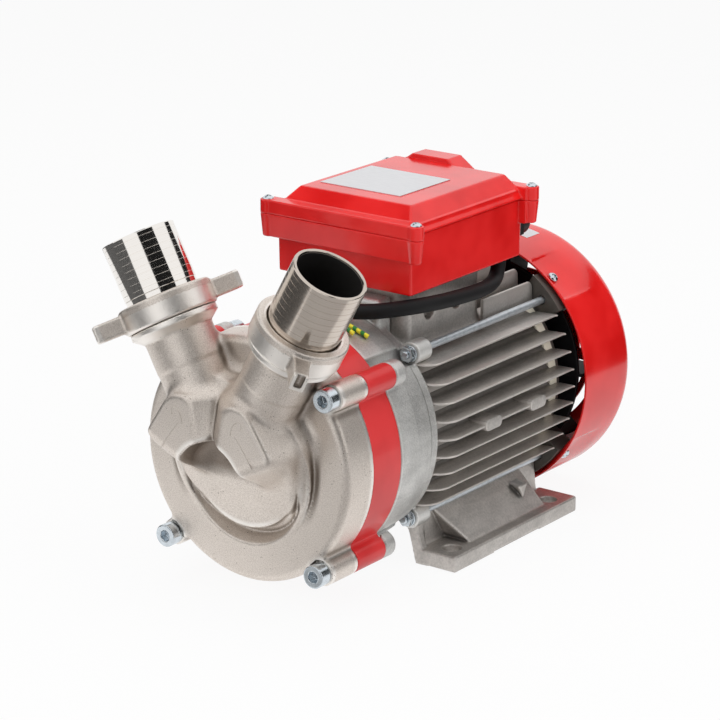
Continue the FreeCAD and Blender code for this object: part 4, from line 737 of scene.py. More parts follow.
def pump_head(nickel, red, aluminium):
    """Casing, ring and bracket."""
    step = (1.0 if FINE else 1.6) * MM
    casing = field_piece("casing_form", casing_field, (-72 * MM, -197 * MM, 9 * MM),
                         (72 * MM, RING_FRONT_Y * MM, 176 * MM), step, 5.5 * MM,
                         lambda x, y, z: casing_field(x, y, z, False))
    adjust_painted_shade(casing)
    settle(casing, nickel, "pump_unit", "nickel_casting", "pump_casing")
    ring = field_piece("ring_form", ring_field, *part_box("pump_ring"), step * 0.85)
    settle(ring, red, "pump_unit", "red_ring", "pump_ring")
    bracket = field_piece("bracket_form", bracket_field, *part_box("motor_bracket"), step)
    settle(bracket, aluminium, "pump_unit", "bracket_aluminium", "motor_bracket")


# Motor frame

FIN_HEIGHTS = [10.3 * step for step in range(-4, 5)]
FIN_TIP_R, FIN_NOSE_R = 73.0, 11
FIN_FRONT, FIN_REAR = -70.0, 59.5
FIN_DRAFT = 0.042
BARREL_R, BARREL_BORE_R = 60.0, 56.1
BARREL_REAR = 50
FOOT_X, FOOT_FRONT, FOOT_REAR, FOOT_TOP = 73, -62, 65.4, 9.6


def swept_piece(name, sections):
    """Surface through closed sections, an array of sections by points by three in millimetres,
    with both ends closed by faces from side to side."""
    count, around = sections.shape[:2]
    i, j = np.meshgrid(np.arange(count - 1), np.arange(around), indexing="ij")
    j2 = (j + 1) % around
    quads = np.stack([i * around + j, i * around + j2, (i + 1) * around + j2, (i + 1) * around + j], -1)
    ends = []
    for first in (0, (count - 1) * around):
        k = np.arange(around // 2 - 1)
        last = first + around - 1 - k
        ends.append(np.stack([first + k, first + k + 1, last - 1, last], -1))
    quads = np.concatenate([quads.reshape(-1, 4)] + ends)
    return mesh_piece(name, sections.reshape(-1, 3) * MM, quads)


def side_fin(height):
    """Sections of one level fin in millimetres: hollow fillets at the barrel, sides that draw
    together towards a round edge, a rounded nose and a rear end that runs to a point."""
    tip = math.sqrt(FIN_TIP_R ** 2 - (abs(height) + 0.7) ** 2)
    nose = FIN_FRONT + FIN_NOSE_R * (1 - np.cos(np.linspace(0, math.pi / 2, 9)))
    middle = np.linspace(-54, BARREL_REAR - 0.5, 8)
    tail = np.linspace(BARREL_REAR + 2, FIN_REAR, 5)
    sections = []
    for y in np.concatenate([nose, middle, [BARREL_REAR + 0.2], tail]):
        reach = tip
        if y < FIN_FRONT + FIN_NOSE_R:
            rise = math.sqrt(max(FIN_NOSE_R ** 2 - (FIN_FRONT + FIN_NOSE_R - y) ** 2, 0))
            reach = tip - FIN_NOSE_R + rise
        root = math.sqrt(BARREL_R ** 2 - height ** 2)
        if y > BARREL_REAR:
            slant = 30 + (y - BARREL_REAR) / (FIN_REAR - BARREL_REAR) * (tip - 30)
            root = max(slant, math.sqrt(62.3 ** 2 - height ** 2))
        reach = max(reach, root + 0.6)
        sides = []
        for sign in (1, -1):
            half_root = 0.7 + (reach - root) * FIN_DRAFT
            side = []
            if y <= BARREL_REAR:
                low = half_root + 2.4
                foot = math.sqrt(BARREL_R ** 2 - (height + sign * low) ** 2)
                corner = math.sqrt(BARREL_R ** 2 - (height + sign * half_root) ** 2)
                side.append((foot - 1.0, sign * (low + 0.4)))
                for share in (0, 0.25, 0.5, 0.75, 1):
                    a, b, c = (1 - share) ** 2, 2 * share * (1 - share), share ** 2
                    side.append((a * foot + b * corner + c * (corner + 2.6),
                                 sign * (a * low + b * half_root + c * (half_root - 0.1))))
            else:
                side += [(root, sign * half_root)] * 6
            for turn in (90, 60, 30):
                a = math.radians(turn)
                side.append((reach - 0.6 + 0.6 * math.cos(a), sign * 0.6 * math.sin(a)))
            sides.append(side)
        loop = sides[0] + [(reach, 0.0), (reach, 0.0)] + sides[1][::-1]
        sections.append([(x, y, AXIS + height + dz) for x, dz in loop])
    return np.array(sections)


def top_fin(x):
    """Sections of one upright fin behind the pedestal: two sides, a round edge above, and the
    upper rear corner a quarter circle."""
    top = math.sqrt(FIN_TIP_R ** 2 - (abs(x) + 0.9) ** 2)
    low = math.sqrt(BARREL_R ** 2 - x ** 2) - 4
    sections = []
    for y in np.concatenate([[8.0, 30.0, 55.1], 55.2 + 4 * np.sin(np.linspace(0.1, math.pi / 2, 7))]):
        high = top - (4 - math.sqrt(max(16 - max(y - 55.2, 0) ** 2, 0)))
        half = [(1.3, low), (0.9, high - 0.8)]
        half += [(0.8 * math.cos(a), high - 0.8 + 0.8 * math.sin(a)) for a in (0.5, 1.1, math.pi / 2)]
        sections.append([(x + dx, y, AXIS + z) for dx, z in half]
                        + [(x - dx, y, AXIS + z) for dx, z in half[::-1]])
    return np.array(sections)


def flipped(sections):
    """The same sections on the other side of the frame."""
    return sections[:, ::-1] * (-1, 1, 1)


def fin_pad(y, sign):
    """Sections of an oval pad that bridges the middle fins: quarter circles of radius 3 about
    the corners of a small rectangle, drawn in a little at the outer face."""
    turns = np.linspace(0, 2 * math.pi, 40, endpoint=False)
    c, s = np.cos(turns), np.sin(turns)
    sections = []
    for x, inset in ((59, 0), (73.1, 0), (73.4, 0.12), (73.5, 0.45)):
        across = 5.0 * np.sign(c) + (3.0 - inset) * c
        up = 0.4 * np.sign(s) + (3.0 - inset) * s
        sections.append(np.stack([np.full(40, sign * x), y + across, AXIS + up], -1))
    sections = np.array(sections)
    return sections if sign > 0 else sections[:, ::-1]


def body_field(x, y, z):
    """Barrel with the pedestal on it, joined by a hollow fillet, two notches on each side."""
    x, y, w, radius = off_shaft(abs(x), y, z)
    form = capped(radius - BARREL_R, slab(y, FIN_FRONT, BARREL_REAR), 0.6)
    pedestal = capped(capped(x - 38, slab(y, -63, 12), 6.5), slab(w, 30, 80), 0.6)
    form = union(form, pedestal, 4)
    for place in (-40, -13):
        form = cut(form, capped(rod(y - place, w - 64, 5), slab(x, 33, 50), 0.5), 0.8)
    for rod_place in ROD_PLACES[2:]:
        form = cut(form, np.maximum(rod(x, w, 6.8, rod_place), y + 59.7), 0.5)
        form = cut(form, rod(x, w, 2.8, rod_place))
    return np.maximum(form, BARREL_BORE_R - radius) * MM


def leg_field(x, y, z):
    """Both legs, mirrored in X: drilled foot plate with a shallow relief below, sloping cheek,
    front rib, inner wall up to the barrel and a small gusset, all with cast fillets."""
    x, y, z = abs(x / MM), y / MM, z / MM
    plate = brick(x, y, z, (46, FOOT_FRONT, 0), (FOOT_X, FOOT_REAR, FOOT_TOP), 1.2)
    cheek = [(42, 4), (66, 4), (66, FOOT_TOP), (48.2, 27.7), (42.2, 39.7), (30, 35)]
    front = -37 - 11.5 * np.clip((z - FOOT_TOP) / 21, 0, 1.3)
    cheek = common(outline_distance(x, z, cheek), np.maximum(front - y, y - 41), 0.8)
    form = union(plate, cheek, 1.0)
    rib = [(46, 0), (54, 0), (50, FOOT_TOP), (44, 27.7), (40, 37.7), (30, 35), (40, 20)]
    rib = common(outline_distance(x, z, rib), slab(y, FOOT_FRONT, -57), 0.8)
    wall = [(46, 0), (49, 0), (46, 27.7), (40, 37.7), (30, 35), (42, 18)]
    wall = common(outline_distance(x, z, wall), slab(y, FOOT_FRONT, 59.7), 0.8)
    form = union(form, union(rib, wall, 1.5), 1.0)
    gusset = common(half_space(x, y, z, (50.5, 24, 25), (-0.22, -0.84, -0.51)),
                    half_space(x, y, z, (51, 34, 25), (0.26, 0.79, -0.38)), 0.6)
    gusset = common(common(gusset, z - 25, 0.6), np.maximum(x - 60, 44 - x), 0.6)
    form = union(form, gusset, 0.6)
    form = cut(form, np.maximum(slab(y, -22, 26), z - 1), 0.5)
    for sy in (-50, 50):
        form = cut(form, rod(x - 62.5, y - sy, 5.25), 0.7)
    form = np.maximum(form, 58.5 - np.hypot(x, z - AXIS))
    return np.maximum(form, -z) * MM


def motor_frame(aluminium):
    """Barrel with its pedestal, legs and fins. A fin's 'edge' is its rim, and its 'hollow' grows
    from 67 mm off the shaft down to the barrel."""
    body = field_piece("frame_body", body_field, (-60 * MM, FIN_FRONT * MM, 20 * MM),
                       (60 * MM, BARREL_REAR * MM, 160 * MM), (1.2 if FINE else 1.8) * MM)
    legs = field_piece("frame_legs", leg_field, (-FOOT_X * MM, FOOT_FRONT * MM, 0),
                       (FOOT_X * MM, FOOT_REAR * MM, 48 * MM), (1.0 if FINE else 1.6) * MM, 3 * MM)
    pieces = [body, legs]
    fins = [side_fin(height) for height in FIN_HEIGHTS]
    fins += [flipped(fin) for fin in fins]
    fins += [top_fin(x) for x in FIN_HEIGHTS]
    fins += [fin_pad(y, sign) for y in (-25.5, 20.5) for sign in (1, -1)]
    for number, sections in enumerate(fins, 1):
        fin = swept_piece("fin_%d" % number, sections)
        fin.data.set_sharp_from_angle(angle=math.radians(50))
        radius = np.hypot(sections[..., 0], sections[..., 2] - AXIS)
        across = np.arange(sections.shape[1])
        rim = np.abs(across - (sections.shape[1] - 1) / 2) < 4
        # The rim is lightened in the finish, partly as painted highlight.
        paint(fin, "edge", np.broadcast_to(rim, radius.shape).ravel())
        # Painted shade, darkest where the fin meets the barrel.
        paint(fin, "hollow", np.clip((67 - radius) / 7, 0, 1).ravel())
        pieces.append(fin)
    for piece in pieces:
        settle(piece, aluminium, "pump_unit", "cast_aluminium")
    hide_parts("motor_frame")


# Hose tails and wing nuts

TAIL_R, TAIL_BORE_R, TAIL_NECK_R = 20.77, 18.5, 20.5
TAIL_FOOT, TAIL_LOW, TAIL_END = 91.7, 103.2, 135.6
TAIL_RINGS = 8
TAIL_FLAT, TAIL_FLAT_LOW, TAIL_FLAT_HIGH = 20.25, 99.5, 102.7
TAIL_TURNS = 160
WING_TURN = {"left": math.radians(52), "right": math.radians(-49)}
WING_LOW, WING_HIGH, WING_HALF = 87.9, 97.9, 5.0
NUT_R, NUT_LOW, NUT_HIGH = 26.3, 85.8, 100.0


def hose_tail(side, chrome):
    """Thin tube with fine ring lines, on a flanged foot that the nut holds. A small flat is
    milled above the nut. The bore's points carry 'inside' = 1."""
    step = (TAIL_END - TAIL_LOW) / (TAIL_RINGS + 0.5)
    outer = [(23.8, TAIL_FOOT), (23.8, 95.4), (23.6, 95.6), (TAIL_NECK_R + 0.2, 95.6)]
    outer += [(TAIL_NECK_R, h) for h in (95.9, 97.0, 99.0, 100.4, 101.2, 102.0, 102.6, TAIL_LOW - 0.25)]
    outer += [(TAIL_R - 0.05, TAIL_LOW), (TAIL_R, TAIL_LOW + 0.15), (TAIL_R, TAIL_LOW + 0.3)]
    for ring in range(TAIL_RINGS):
        edge = TAIL_LOW + (ring + 0.75) * step
        outer += [(TAIL_R, edge - 0.16), (TAIL_R - 0.12, edge - 0.1), (TAIL_R - 0.12, edge + 0.02),
                  (TAIL_R, edge + 0.1)]
    outer += [(TAIL_R, TAIL_END - 0.8), (TAIL_R, TAIL_END - 0.6), (TAIL_R - 0.12, TAIL_END - 0.25),
              (TAIL_R - 0.45, TAIL_END)]
    inner = [(TAIL_BORE_R + 0.45, TAIL_END), (TAIL_BORE_R + 0.12, TAIL_END - 0.25),
             (TAIL_BORE_R, TAIL_END - 0.7), (TAIL_BORE_R, TAIL_END - 1.4), (TAIL_BORE_R, TAIL_FOOT)]
    profile = [(r * MM, h * MM) for r, h in outer + inner]
    middle = WING_TURN[side] + math.radians(18 if side == "right" else 180 - 18)

    def milled(angle, height, radius):
        """Radius with the flat: its distance over the cosine of the turn from its middle."""
        across = np.cos(angle - middle)
        flat = TAIL_FLAT * MM / np.maximum(across, 0.9)
        reached = (across > 0.9) & (radius > 19 * MM)
        reached = reached & (height > TAIL_FLAT_LOW * MM) & (height < TAIL_FLAT_HIGH * MM)
        return np.where(reached, np.minimum(radius, flat), radius)

    tail = turned_piece("tail_" + side, profile, TAIL_TURNS, milled)
    # The bore's points get 1, where the finish paints shade.
    bore_painted_shade = [0.0] * (len(outer) + 3) + [1.0] * (len(inner) - 3)
    paint(tail, "inside", np.repeat(bore_painted_shade, TAIL_TURNS))
    paint(tail, "along", np.repeat([h for _, h in outer + inner], TAIL_TURNS))
    tail.data.transform(port_matrix(side))
    tail.data.set_sharp_from_angle(angle=math.radians(7))
    settle(tail, chrome, "pump_unit", "polished_chrome", "hose_tail_" + side)


def wing_nut_field(side):
    """Round nut with two flat wings; a shallow pocket in each wing's outer end."""
    matrix = np.array(port_matrix(side).inverted())
    turn = WING_TURN[side]

    def field(x, y, z):
        """The nut in the port's own axes, with u along the wings and v across them."""
        a, b, c = ((row[0] * x + row[1] * y + row[2] * z + row[3]) / MM for row in matrix[:3])
        u = a * math.cos(turn) + b * math.sin(turn)
        v = -a * math.sin(turn) + b * math.cos(turn)
        r = np.hypot(a, b)
        body = capped(r - NUT_R, slab(c, NUT_LOW, NUT_HIGH), 1.3)
        reach = np.abs(u)
        taper = WING_HALF - 1.1 * np.clip((reach - 25) / 18, 0, 1)
        wing = capped(common(np.abs(v) - taper, reach - 42.7), slab(c, WING_LOW, WING_HIGH), 1.2)
        wing = common(wing, 18 - reach)
        pocket = capped(common(np.abs(v) - taper + 1.9, 34 - reach), slab(c, 90.4, 99.5), 0.8)
        wing = cut(wing, common(pocket, 41 - reach), 0.6)
        form = union(body, wing, 2.2)
        bore = union(r - 23.28 + 1e3 * np.clip(c - 95.8, 0, 1), r - 21.07)
        return cut(form, bore, 0.5) * MM
    return field


def port_fittings(nickel, chrome):
    """Tail and wing nut of each port."""
    step = (0.8 if FINE else 1.2) * MM
    for side in ("left", "right"):
        hose_tail(side, chrome[side])
        node = "wing_nut_" + side
        nut = field_piece("nut_" + side, wing_nut_field(side), *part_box(node), step, 2.5 * MM)
        settle(nut, nickel, side + "_nut", "nickel_casting", node)


# Fasteners

def hexagon(u, v, across_flats):
    """Distance to a hexagonal prism, the furthest of its three pairs of flats."""
    sides = [u * math.cos(a) + v * math.sin(a) for a in (0, math.pi / 3, 2 * math.pi / 3)]
    return np.maximum.reduce([np.abs(side) for side in sides]) - across_flats / 2


def socket_head(x, y, z):
    """Cap screw in millimetres, its axis on Z and its head from 0 to 8: rounded rim, hexagon
    socket with a lead-in, and a plain shank below."""
    r = np.hypot(x, y)
    head = capped(r - 6.5, slab(z, 0, 8), 0.7)
    socket = np.maximum(hexagon(x, y, 6.0), 3.5 - z)
    lead_in = r - 2.2 - (z - 6.6) * 0.9
    head = cut(head, np.minimum(socket, np.maximum(lead_in, 3.5 - z)), 0.25)
    return np.minimum(head, np.maximum(r - 3.95, slab(z, -12, 1)))


def nut_on_rod(x, y, z):
    """Hexagon nut with turned corners on a washer, and the rod's threaded end, along Z."""
    r = np.hypot(x, y)
    nut = common(hexagon(x, y, 8.0), slab(z, 0.9, 4.0), 0.15)
    nut = np.maximum(nut, r + (z - 4.0) * 1.6 - 4.15)
    washer = capped(r - 4.9, slab(z, 0, 0.9), 0.25)
    thread = 0.16 * np.cos(2 * math.pi * (z / 0.8) - np.arctan2(y, x))
    end = common(r - 2.2 + thread, slab(z, 0, 5.8), 0.5)
    return np.minimum(np.minimum(nut, washer), end)


def cross_head(x, y, z):
    """Domed screw head with a cross recess and a plain shank, along Z."""
    r = np.hypot(x, y)
    head = common(np.sqrt(r ** 2 + (z + 1.9) ** 2) - 4.0, np.maximum(r - 3.35, -z), 0.4)
    depth = np.maximum(0.7 + 0.55 * r - z, -1)
    u, v = np.abs(x), np.abs(y)
    cross = np.minimum(np.maximum(u - 0.42, v - 2.0), np.maximum(v - 0.42, u - 2.0))
    head = cut(head, np.maximum(cross, depth), 0.15)
    return np.minimum(head, np.maximum(r - 1.6, slab(z, -4, 0.5)))


def copies(name, field, low, high, step, places):
    """One mesh of a small form in millimetres, set at several places given as matrices."""
    single = field_piece(name, lambda x, y, z: field(x / MM, y / MM, z / MM) * MM,
                         [v * MM for v in low], [v * MM for v in high], step * MM, 0.8 * MM)
    pieces = [single]
    for number in range(2, len(places) + 1):
        piece = single.copy()
        piece.data = single.data.copy()
        bpy.context.scene.collection.objects.link(piece)
        piece.name = "%s_%d" % (name, number)
        pieces.append(piece)
    for piece, place in zip(pieces, places):
        piece.data.transform(place)
    return pieces


FORWARD, REARWARD, UPWARD = (0, -1, 0), (0, 1, 0), (0, 0, 1)
ROD_D = 4.6 * MM


def facing(x, y, z, axis, turn=0.0):
    """Matrix that sets local Z along an axis at a place in millimetres."""
    upright = Vector(axis).to_track_quat("Z", "Y").to_matrix().to_4x4()
    return Matrix.Translation((x * MM, y * MM, z * MM)) @ upright @ Matrix.Rotation(turn, 4, "Z")


def fasteners(zinc):
    """Casing screws, tie rods with their nuts, and the screws of cover and lid."""
    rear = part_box("tie_rod_nuts")[1].y / MM - 4
    rods = []
    for number, (x, w) in enumerate(ROD_PLACES, 1):
        route = [(x, y, AXIS + w) for y in np.linspace(ROD_FRONT_Y, rear, 4)]
        rods.append(line_piece("rod_%d" % number, route, ROD_D))
    heads = [facing(x, LUG_SEAT_Y, AXIS + w, FORWARD, number * 0.7 + 0.3)
             for number, (x, w) in enumerate(SCREW_PLACES)]
    x, w = REAR_SCREW_PLACE
    heads.append(facing(x, BRACKET_LUG_Y, AXIS + w, REARWARD))
    ends = [facing(x, y, AXIS + w, axis, x * w)
            for y, axis in ((ROD_FRONT_Y, FORWARD), (rear, REARWARD)) for x, w in ROD_PLACES]
    flats = []
    for turn in FLAT_TURNS:
        x, w = round_shaft(turn, FLAT_R + 0.3)
        outward = round_shaft(turn, 1)
        flats.append(facing(x, 72, AXIS + w, (outward[0], 0, outward[1]), math.radians(turn)))
    corners = [facing(x, y, BOSS_TOP_Z, UPWARD, x / BOSS_X + y) for x, y in BOSSES]
    screws = copies("socket_screw", socket_head, (-6.5, -6.5, -12), (6.5, 6.5, 8),
                    0.5 if FINE else 0.7, heads)
    nuts = copies("rod_nut", nut_on_rod, (-5, -5, 0), (5, 5, 6), 0.35 if FINE else 0.5, ends)
    cover, lid = (copies(name, cross_head, (-3.4, -3.4, -4), (3.4, 3.4, 2.2), 0.3, places)
                  for name, places in (("cover_screw", flats), ("lid_screw", corners)))
    smooth = plated_steel("plated_rod", rgb(222, 228, 233), 0.5)
    for pieces, finish, node in ((screws, zinc, "casing_screws"), (nuts, zinc, "tie_rod_nuts"),
                                 (cover, zinc, "fan_cover_screws"), (lid, zinc, "lid_screws"),
                                 (rods, smooth, "tie_rods")):
        for piece in pieces:
            settle(piece, finish, "pump_unit", "zinc_steel")
        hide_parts(node)


# Fan cover and fan

COVER_R, COVER_WALL, COVER_ROUND = 78.45, 1.2, 10.0
COVER_FRONT, COVER_REAR = 64.2, 118.0
COVER_TURNS = 576
FLAT_TURNS = (51, 141, 231, 321)
FLAT_R, FLAT_END = 76.6, 97.0
SLOT_EDGES = [16 + 8 * ring + side for ring in range(5) for side in (0, 4.4)]
SLOT_GROUP, SLOT_BAR = 60, 5
FAN_FRONT, FAN_REAR = 79.0, 103.0
FAN_R, FAN_BLADES = 66.0, 9


def pressed(turn, y, radius):
    """Radius of the sheet: four flats pressed in near the front, running out towards the rear.
    A flat's radius is its distance over the cosine of the turn from its middle."""
    for flat in FLAT_TURNS:
        off = (turn - math.radians(flat) + math.pi) % (2 * math.pi) - math.pi
        chord = np.maximum(COVER_R - FLAT_R / np.cos(np.clip(off, -0.6, 0.6)), 0)
        within = np.clip((16.2 - abs(off) * COVER_R) / 1.4, 0, 1) * np.clip((y - 65.6) / 1.6, 0, 1)
        radius = radius - within * (chord + 0.7) * np.clip((FLAT_END - y) / (FLAT_END - 74), 0, 1)
    return radius


def cover_mesh():
    """Sheet-metal cover: an outer and an inner turned skin, joined at the rims and round each
    slot, with a quarter circle between side and back. Slots leave out faces of both skins."""
    bend = np.linspace(0, math.pi / 2, 8)
    sides = [64.35, 65.5, 66.4, 67.3, 69, 72, 75, 78, 82, 86, 90, 94, 97, 102, 108]
    back = [68.45] + sorted({float(r) for r in SLOT_EDGES + [8, 60]}, reverse=True) + [2.0]
    turns = np.linspace(0, 2 * math.pi, COVER_TURNS, endpoint=False)
    layers = []
    for inset, rim in ((0.0, -0.15), (COVER_WALL, 0.15)):
        corner = COVER_ROUND - inset
        profile = [(COVER_R - inset + rim, COVER_FRONT)]
        profile += [(COVER_R - inset, y) for y in sides[:-1]]
        profile += [(COVER_R - COVER_ROUND + corner * math.cos(a),
                     COVER_REAR - COVER_ROUND + corner * math.sin(a)) for a in bend]
        profile += [(r, COVER_REAR - inset) for r in back[1:]]
        r, y = np.array(profile).T[:, :, None]
        r = np.where(y < 100, pressed(turns, y, r), r)
        y = np.broadcast_to(y, r.shape)
        layers.append(np.stack([r * np.cos(turns), y, AXIS + r * np.sin(turns)], -1))
    rows = len(profile)
    first = len(sides) + len(bend) - 1
    kept = np.ones((rows - 1, COVER_TURNS), bool)
    degrees = (np.arange(COVER_TURNS) + 0.5) * 360 / COVER_TURNS % SLOT_GROUP
    open_turn = (degrees > SLOT_BAR) & (degrees < SLOT_GROUP - SLOT_BAR)
    for row in range(first, rows - 1):
        middle = (profile[row][0] + profile[row + 1][0]) / 2
        if any(low < middle < high for low, high in zip(SLOT_EDGES[::2], SLOT_EDGES[1::2])):
            kept[row] = ~open_turn
    index = np.arange(2 * rows * COVER_TURNS).reshape(2, rows, COVER_TURNS)
    outer, inner = index
    after = np.roll(index, -1, axis=2)
    quads = [np.stack([outer[:-1], outer[1:], after[0][1:], after[0][:-1]], -1)[kept],
             np.stack([inner[:-1], after[1][:-1], after[1][1:], inner[1:]], -1)[kept]]
    for row in (0, rows - 1):
        quads.append(np.stack([outer[row], after[0][row], after[1][row], inner[row]], -1))
    across = kept[1:] != kept[:-1]
    quads.append(np.stack([outer[1:-1], after[0][1:-1], after[1][1:-1], inner[1:-1]], -1)[across])
    along = kept != np.roll(kept, 1, axis=1)
    quads.append(np.stack([outer[:-1], outer[1:], inner[1:], inner[:-1]], -1)[along])
    points = np.stack(layers).reshape(-1, 3) * MM
    return mesh_piece("cover_sheet", points, np.concatenate([q.reshape(-1, 4) for q in quads]))


def fan_field(x, y, z):
    """Hub, thin disc and nine flat blades: one blade, repeated by the turn round the shaft."""
    x, y, w, radius = off_shaft(x, y, z)
    share = 2 * math.pi / FAN_BLADES
    turn = (np.arctan2(w, x) + share / 2) % share - share / 2
    blade = np.maximum(np.abs(radius * np.sin(turn)) - 1.0, np.maximum(radius - FAN_R, 8 - radius))
    blade = capped(blade, slab(y, FAN_FRONT, FAN_REAR), 0.4)
    hub = capped(radius - 13, slab(y, FAN_FRONT, FAN_FRONT + 18), 1)
    disc = capped(radius - FAN_R + 3, slab(y, FAN_FRONT, FAN_FRONT + 2), 0.5)
    form = union(union(hub, disc, 2), blade, 1)
    return np.maximum(form, 6.6 - radius) * MM


def fan_end(red, black, silver):
    """Cover and fan, and the bare label on the cover: a patch of a cylinder just outside it."""
    cover = cover_mesh()
    cover.data.set_sharp_from_angle(angle=math.radians(20))
    settle(cover, red, "pump_unit", "red_gloss", "fan_cover")
    fan = field_piece("fan_form", fan_field, *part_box("cooling_fan"), (0.9 if FINE else 1.2) * MM)
    settle(fan, black, "rotor", "black_plastic", "cooling_fan")
    turns = np.radians(np.linspace(75.5, 83, 9))
    x, w = (COVER_R + 0.12) * np.cos(turns), (COVER_R + 0.12) * np.sin(turns)
    points = np.concatenate([np.stack([x, np.full(9, y), AXIS + w], 1) for y in (87, 101)]) * MM
    first = np.arange(8)
    label = mesh_piece("cover_label", points, np.stack([first, first + 9, first + 10, first + 1], 1))
    settle(label, silver, "pump_unit", "plate_metal")


# Terminal box

BOX_HALF_X, BOX_FRONT_Y, BOX_REAR_Y = 46.6, -70.5, 39.7
BOX_LOW_Z, SEAM_Z, RIM_TOP_Z = 160, 193.8, 200
BOX_FLOOR_Z = 164
BOSS_X, BOSS_R, BOSS_TOP_Z = 51.4, 4.5, 201.8
BOSSES = [(sx * BOSS_X, y) for sx in (-1, 1) for y in (-72.7, 41.9)]
LID_LEDGE, LID_RISE, LID_WALL = 1.3, 8.65, 2.2
SIDE_RUN, FRONT_RUN, REAR_RUN = 7.9, 11, 6.7
HOUSING_TOP_X = (-27.5, -2.2)
HOUSING_TOP_Z = 211.4
HOUSING_Y = (33.5, 48.0)
HOUSING_SLOPE = math.radians(35)
SWITCH_HALF = (9.7, 6.45)
WIRE_HOLE = (14.0, -40.0, -12.0)
CORD_AT, CORD_HOLE_R = (38.5, 28.6), 6.5
GLAND_AT, GLAND_HOLE_R = (35.5, 177.0), 8.1


def boss_form(x, y, z, foot_z, top_z, foot_r, top_r):
    """Four tapered corner bosses, each with a web as wide as itself to the box."""
    low = 1e3
    for cx, cy in BOSSES:
        taper = foot_r + (top_r - foot_r) * np.clip((z - foot_z) / max(top_z - foot_z, 1), 0, 1)
        cone = capped(rod(x - cx, y - cy, taper), slab(z, foot_z, top_z), 0.5)
        inner = cy + (6.0 if cy < 0 else -6.0)
        outer = cy - (taper - 0.9) * (1 if cy < 0 else -1)
        side = np.maximum(np.minimum(inner, outer) - y, y - np.maximum(inner, outer))
        web = capped(np.maximum(abs(x) - BOSS_X, side), slab(z, foot_z, top_z), 0.5)
        low = np.minimum(low, union(cone, web, 0.8))
    return low


def box_field(x, y, z):
    """Moulded box with soft corners, its bosses and the openings for cord, wires and gland."""
    x, y, z = x / MM, y / MM, z / MM
    draft = (SEAM_Z - z) * 0.012
    side = common(abs(x) - BOX_HALF_X + draft, y - BOX_REAR_Y + draft, 1.4)
    side = common(side, BOX_FRONT_Y + draft - y, 1.4)
    form = capped(side, slab(z, BOX_LOW_Z, SEAM_Z), 0.8)
    form = union(form, boss_form(x, y, z, 180.3, SEAM_Z, 3.2, BOSS_R), 0.6)
    hollow = np.maximum(abs(x) - 44.1, slab(y, -68, 37.2))
    form = cut(form, capped(hollow, slab(z, BOX_FLOOR_Z - 1, RIM_TOP_Z), 1))
    wires = np.maximum(abs(x) - WIRE_HOLE[0], slab(y, *WIRE_HOLE[1:]))
    form = cut(form, np.maximum(wires, z - BOX_FLOOR_Z))
    form = cut(form, np.maximum(rod(x, y, CORD_HOLE_R, CORD_AT), z - BOX_FLOOR_Z))
    form = cut(form, np.maximum(rod(x, z, GLAND_HOLE_R, GLAND_AT), 30 - y))
    return form * MM


def lid_field(x, y, z):
    """Lid: upright rim, a narrow ledge, four slopes to the flat top, the switch housing behind.
    A slope is a plane that runs inwards as it rises, scaled to about its true distance."""
    x, y, z = x / MM, y / MM, z / MM
    side = common(abs(x) - BOX_HALF_X, y - BOX_REAR_Y, 1.4)
    side = common(side, BOX_FRONT_Y - y, 1.4)
    rim = capped(side, slab(z, SEAM_Z, RIM_TOP_Z), 0.5)
    inset = (z - RIM_TOP_Z) / LID_RISE
    slope_x = (abs(x) - (BOX_HALF_X - LID_LEDGE) + (SIDE_RUN - LID_LEDGE) * inset) * 0.79
    slope_f = (BOX_FRONT_Y + LID_LEDGE + (FRONT_RUN - LID_LEDGE) * inset - y) * 0.66
    slope_r = (y - BOX_REAR_Y + LID_LEDGE + (REAR_RUN - LID_LEDGE) * inset) * 0.85
    hip = common(common(slope_x, slope_f, 0.9), slope_r, 0.9)
    form = union(rim, common(hip, slab(z, 195, RIM_TOP_Z + LID_RISE), 0.7), 0.5)
    form = union(form, boss_form(x, y, z, SEAM_Z, BOSS_TOP_Z, BOSS_R, BOSS_R), 0.6)
    top, (left, right) = HOUSING_TOP_Z, HOUSING_TOP_X
    run = 1 / math.tan(HOUSING_SLOPE)
    spread = min((top - SEAM_Z) * run, 18.0)
    outline = [(left, top), (left - spread, top - spread / run), (left - spread, SEAM_Z),
               (right + spread, SEAM_Z), (right + spread, top - spread / run), (right, top)]
    housing = common(outline_distance(x, z, outline), slab(y, *HOUSING_Y), 0.7)
    form = union(form, housing, 0.8)
    inner = common(common(slope_x, slope_f), slope_r) + LID_WALL
    form = cut(form, np.maximum(np.where(z < 197.5, side + LID_WALL, inner), z - 206.4))
    middle_x, middle_z = (left + right) / 2, (SEAM_Z + top) / 2 + 0.4
    opening = np.maximum(abs(x - middle_x) - SWITCH_HALF[0], abs(z - middle_z) - SWITCH_HALF[1])
    form = cut(form, np.maximum(opening, HOUSING_Y[1] - 6 - y))
    return np.maximum(form, SEAM_Z - z) * MM


def terminal_box(red):
    """Box and lid."""
    step = (1.0 if FINE else 1.5) * MM
    for field, node in ((box_field, "terminal_box"), (lid_field, "terminal_box_lid")):
        piece = field_piece(node + "_form", field, *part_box(node), step, 2.5 * MM)
        settle(piece, red, "pump_unit", "red_gloss", node)


# Lead: its routes are in millimetres

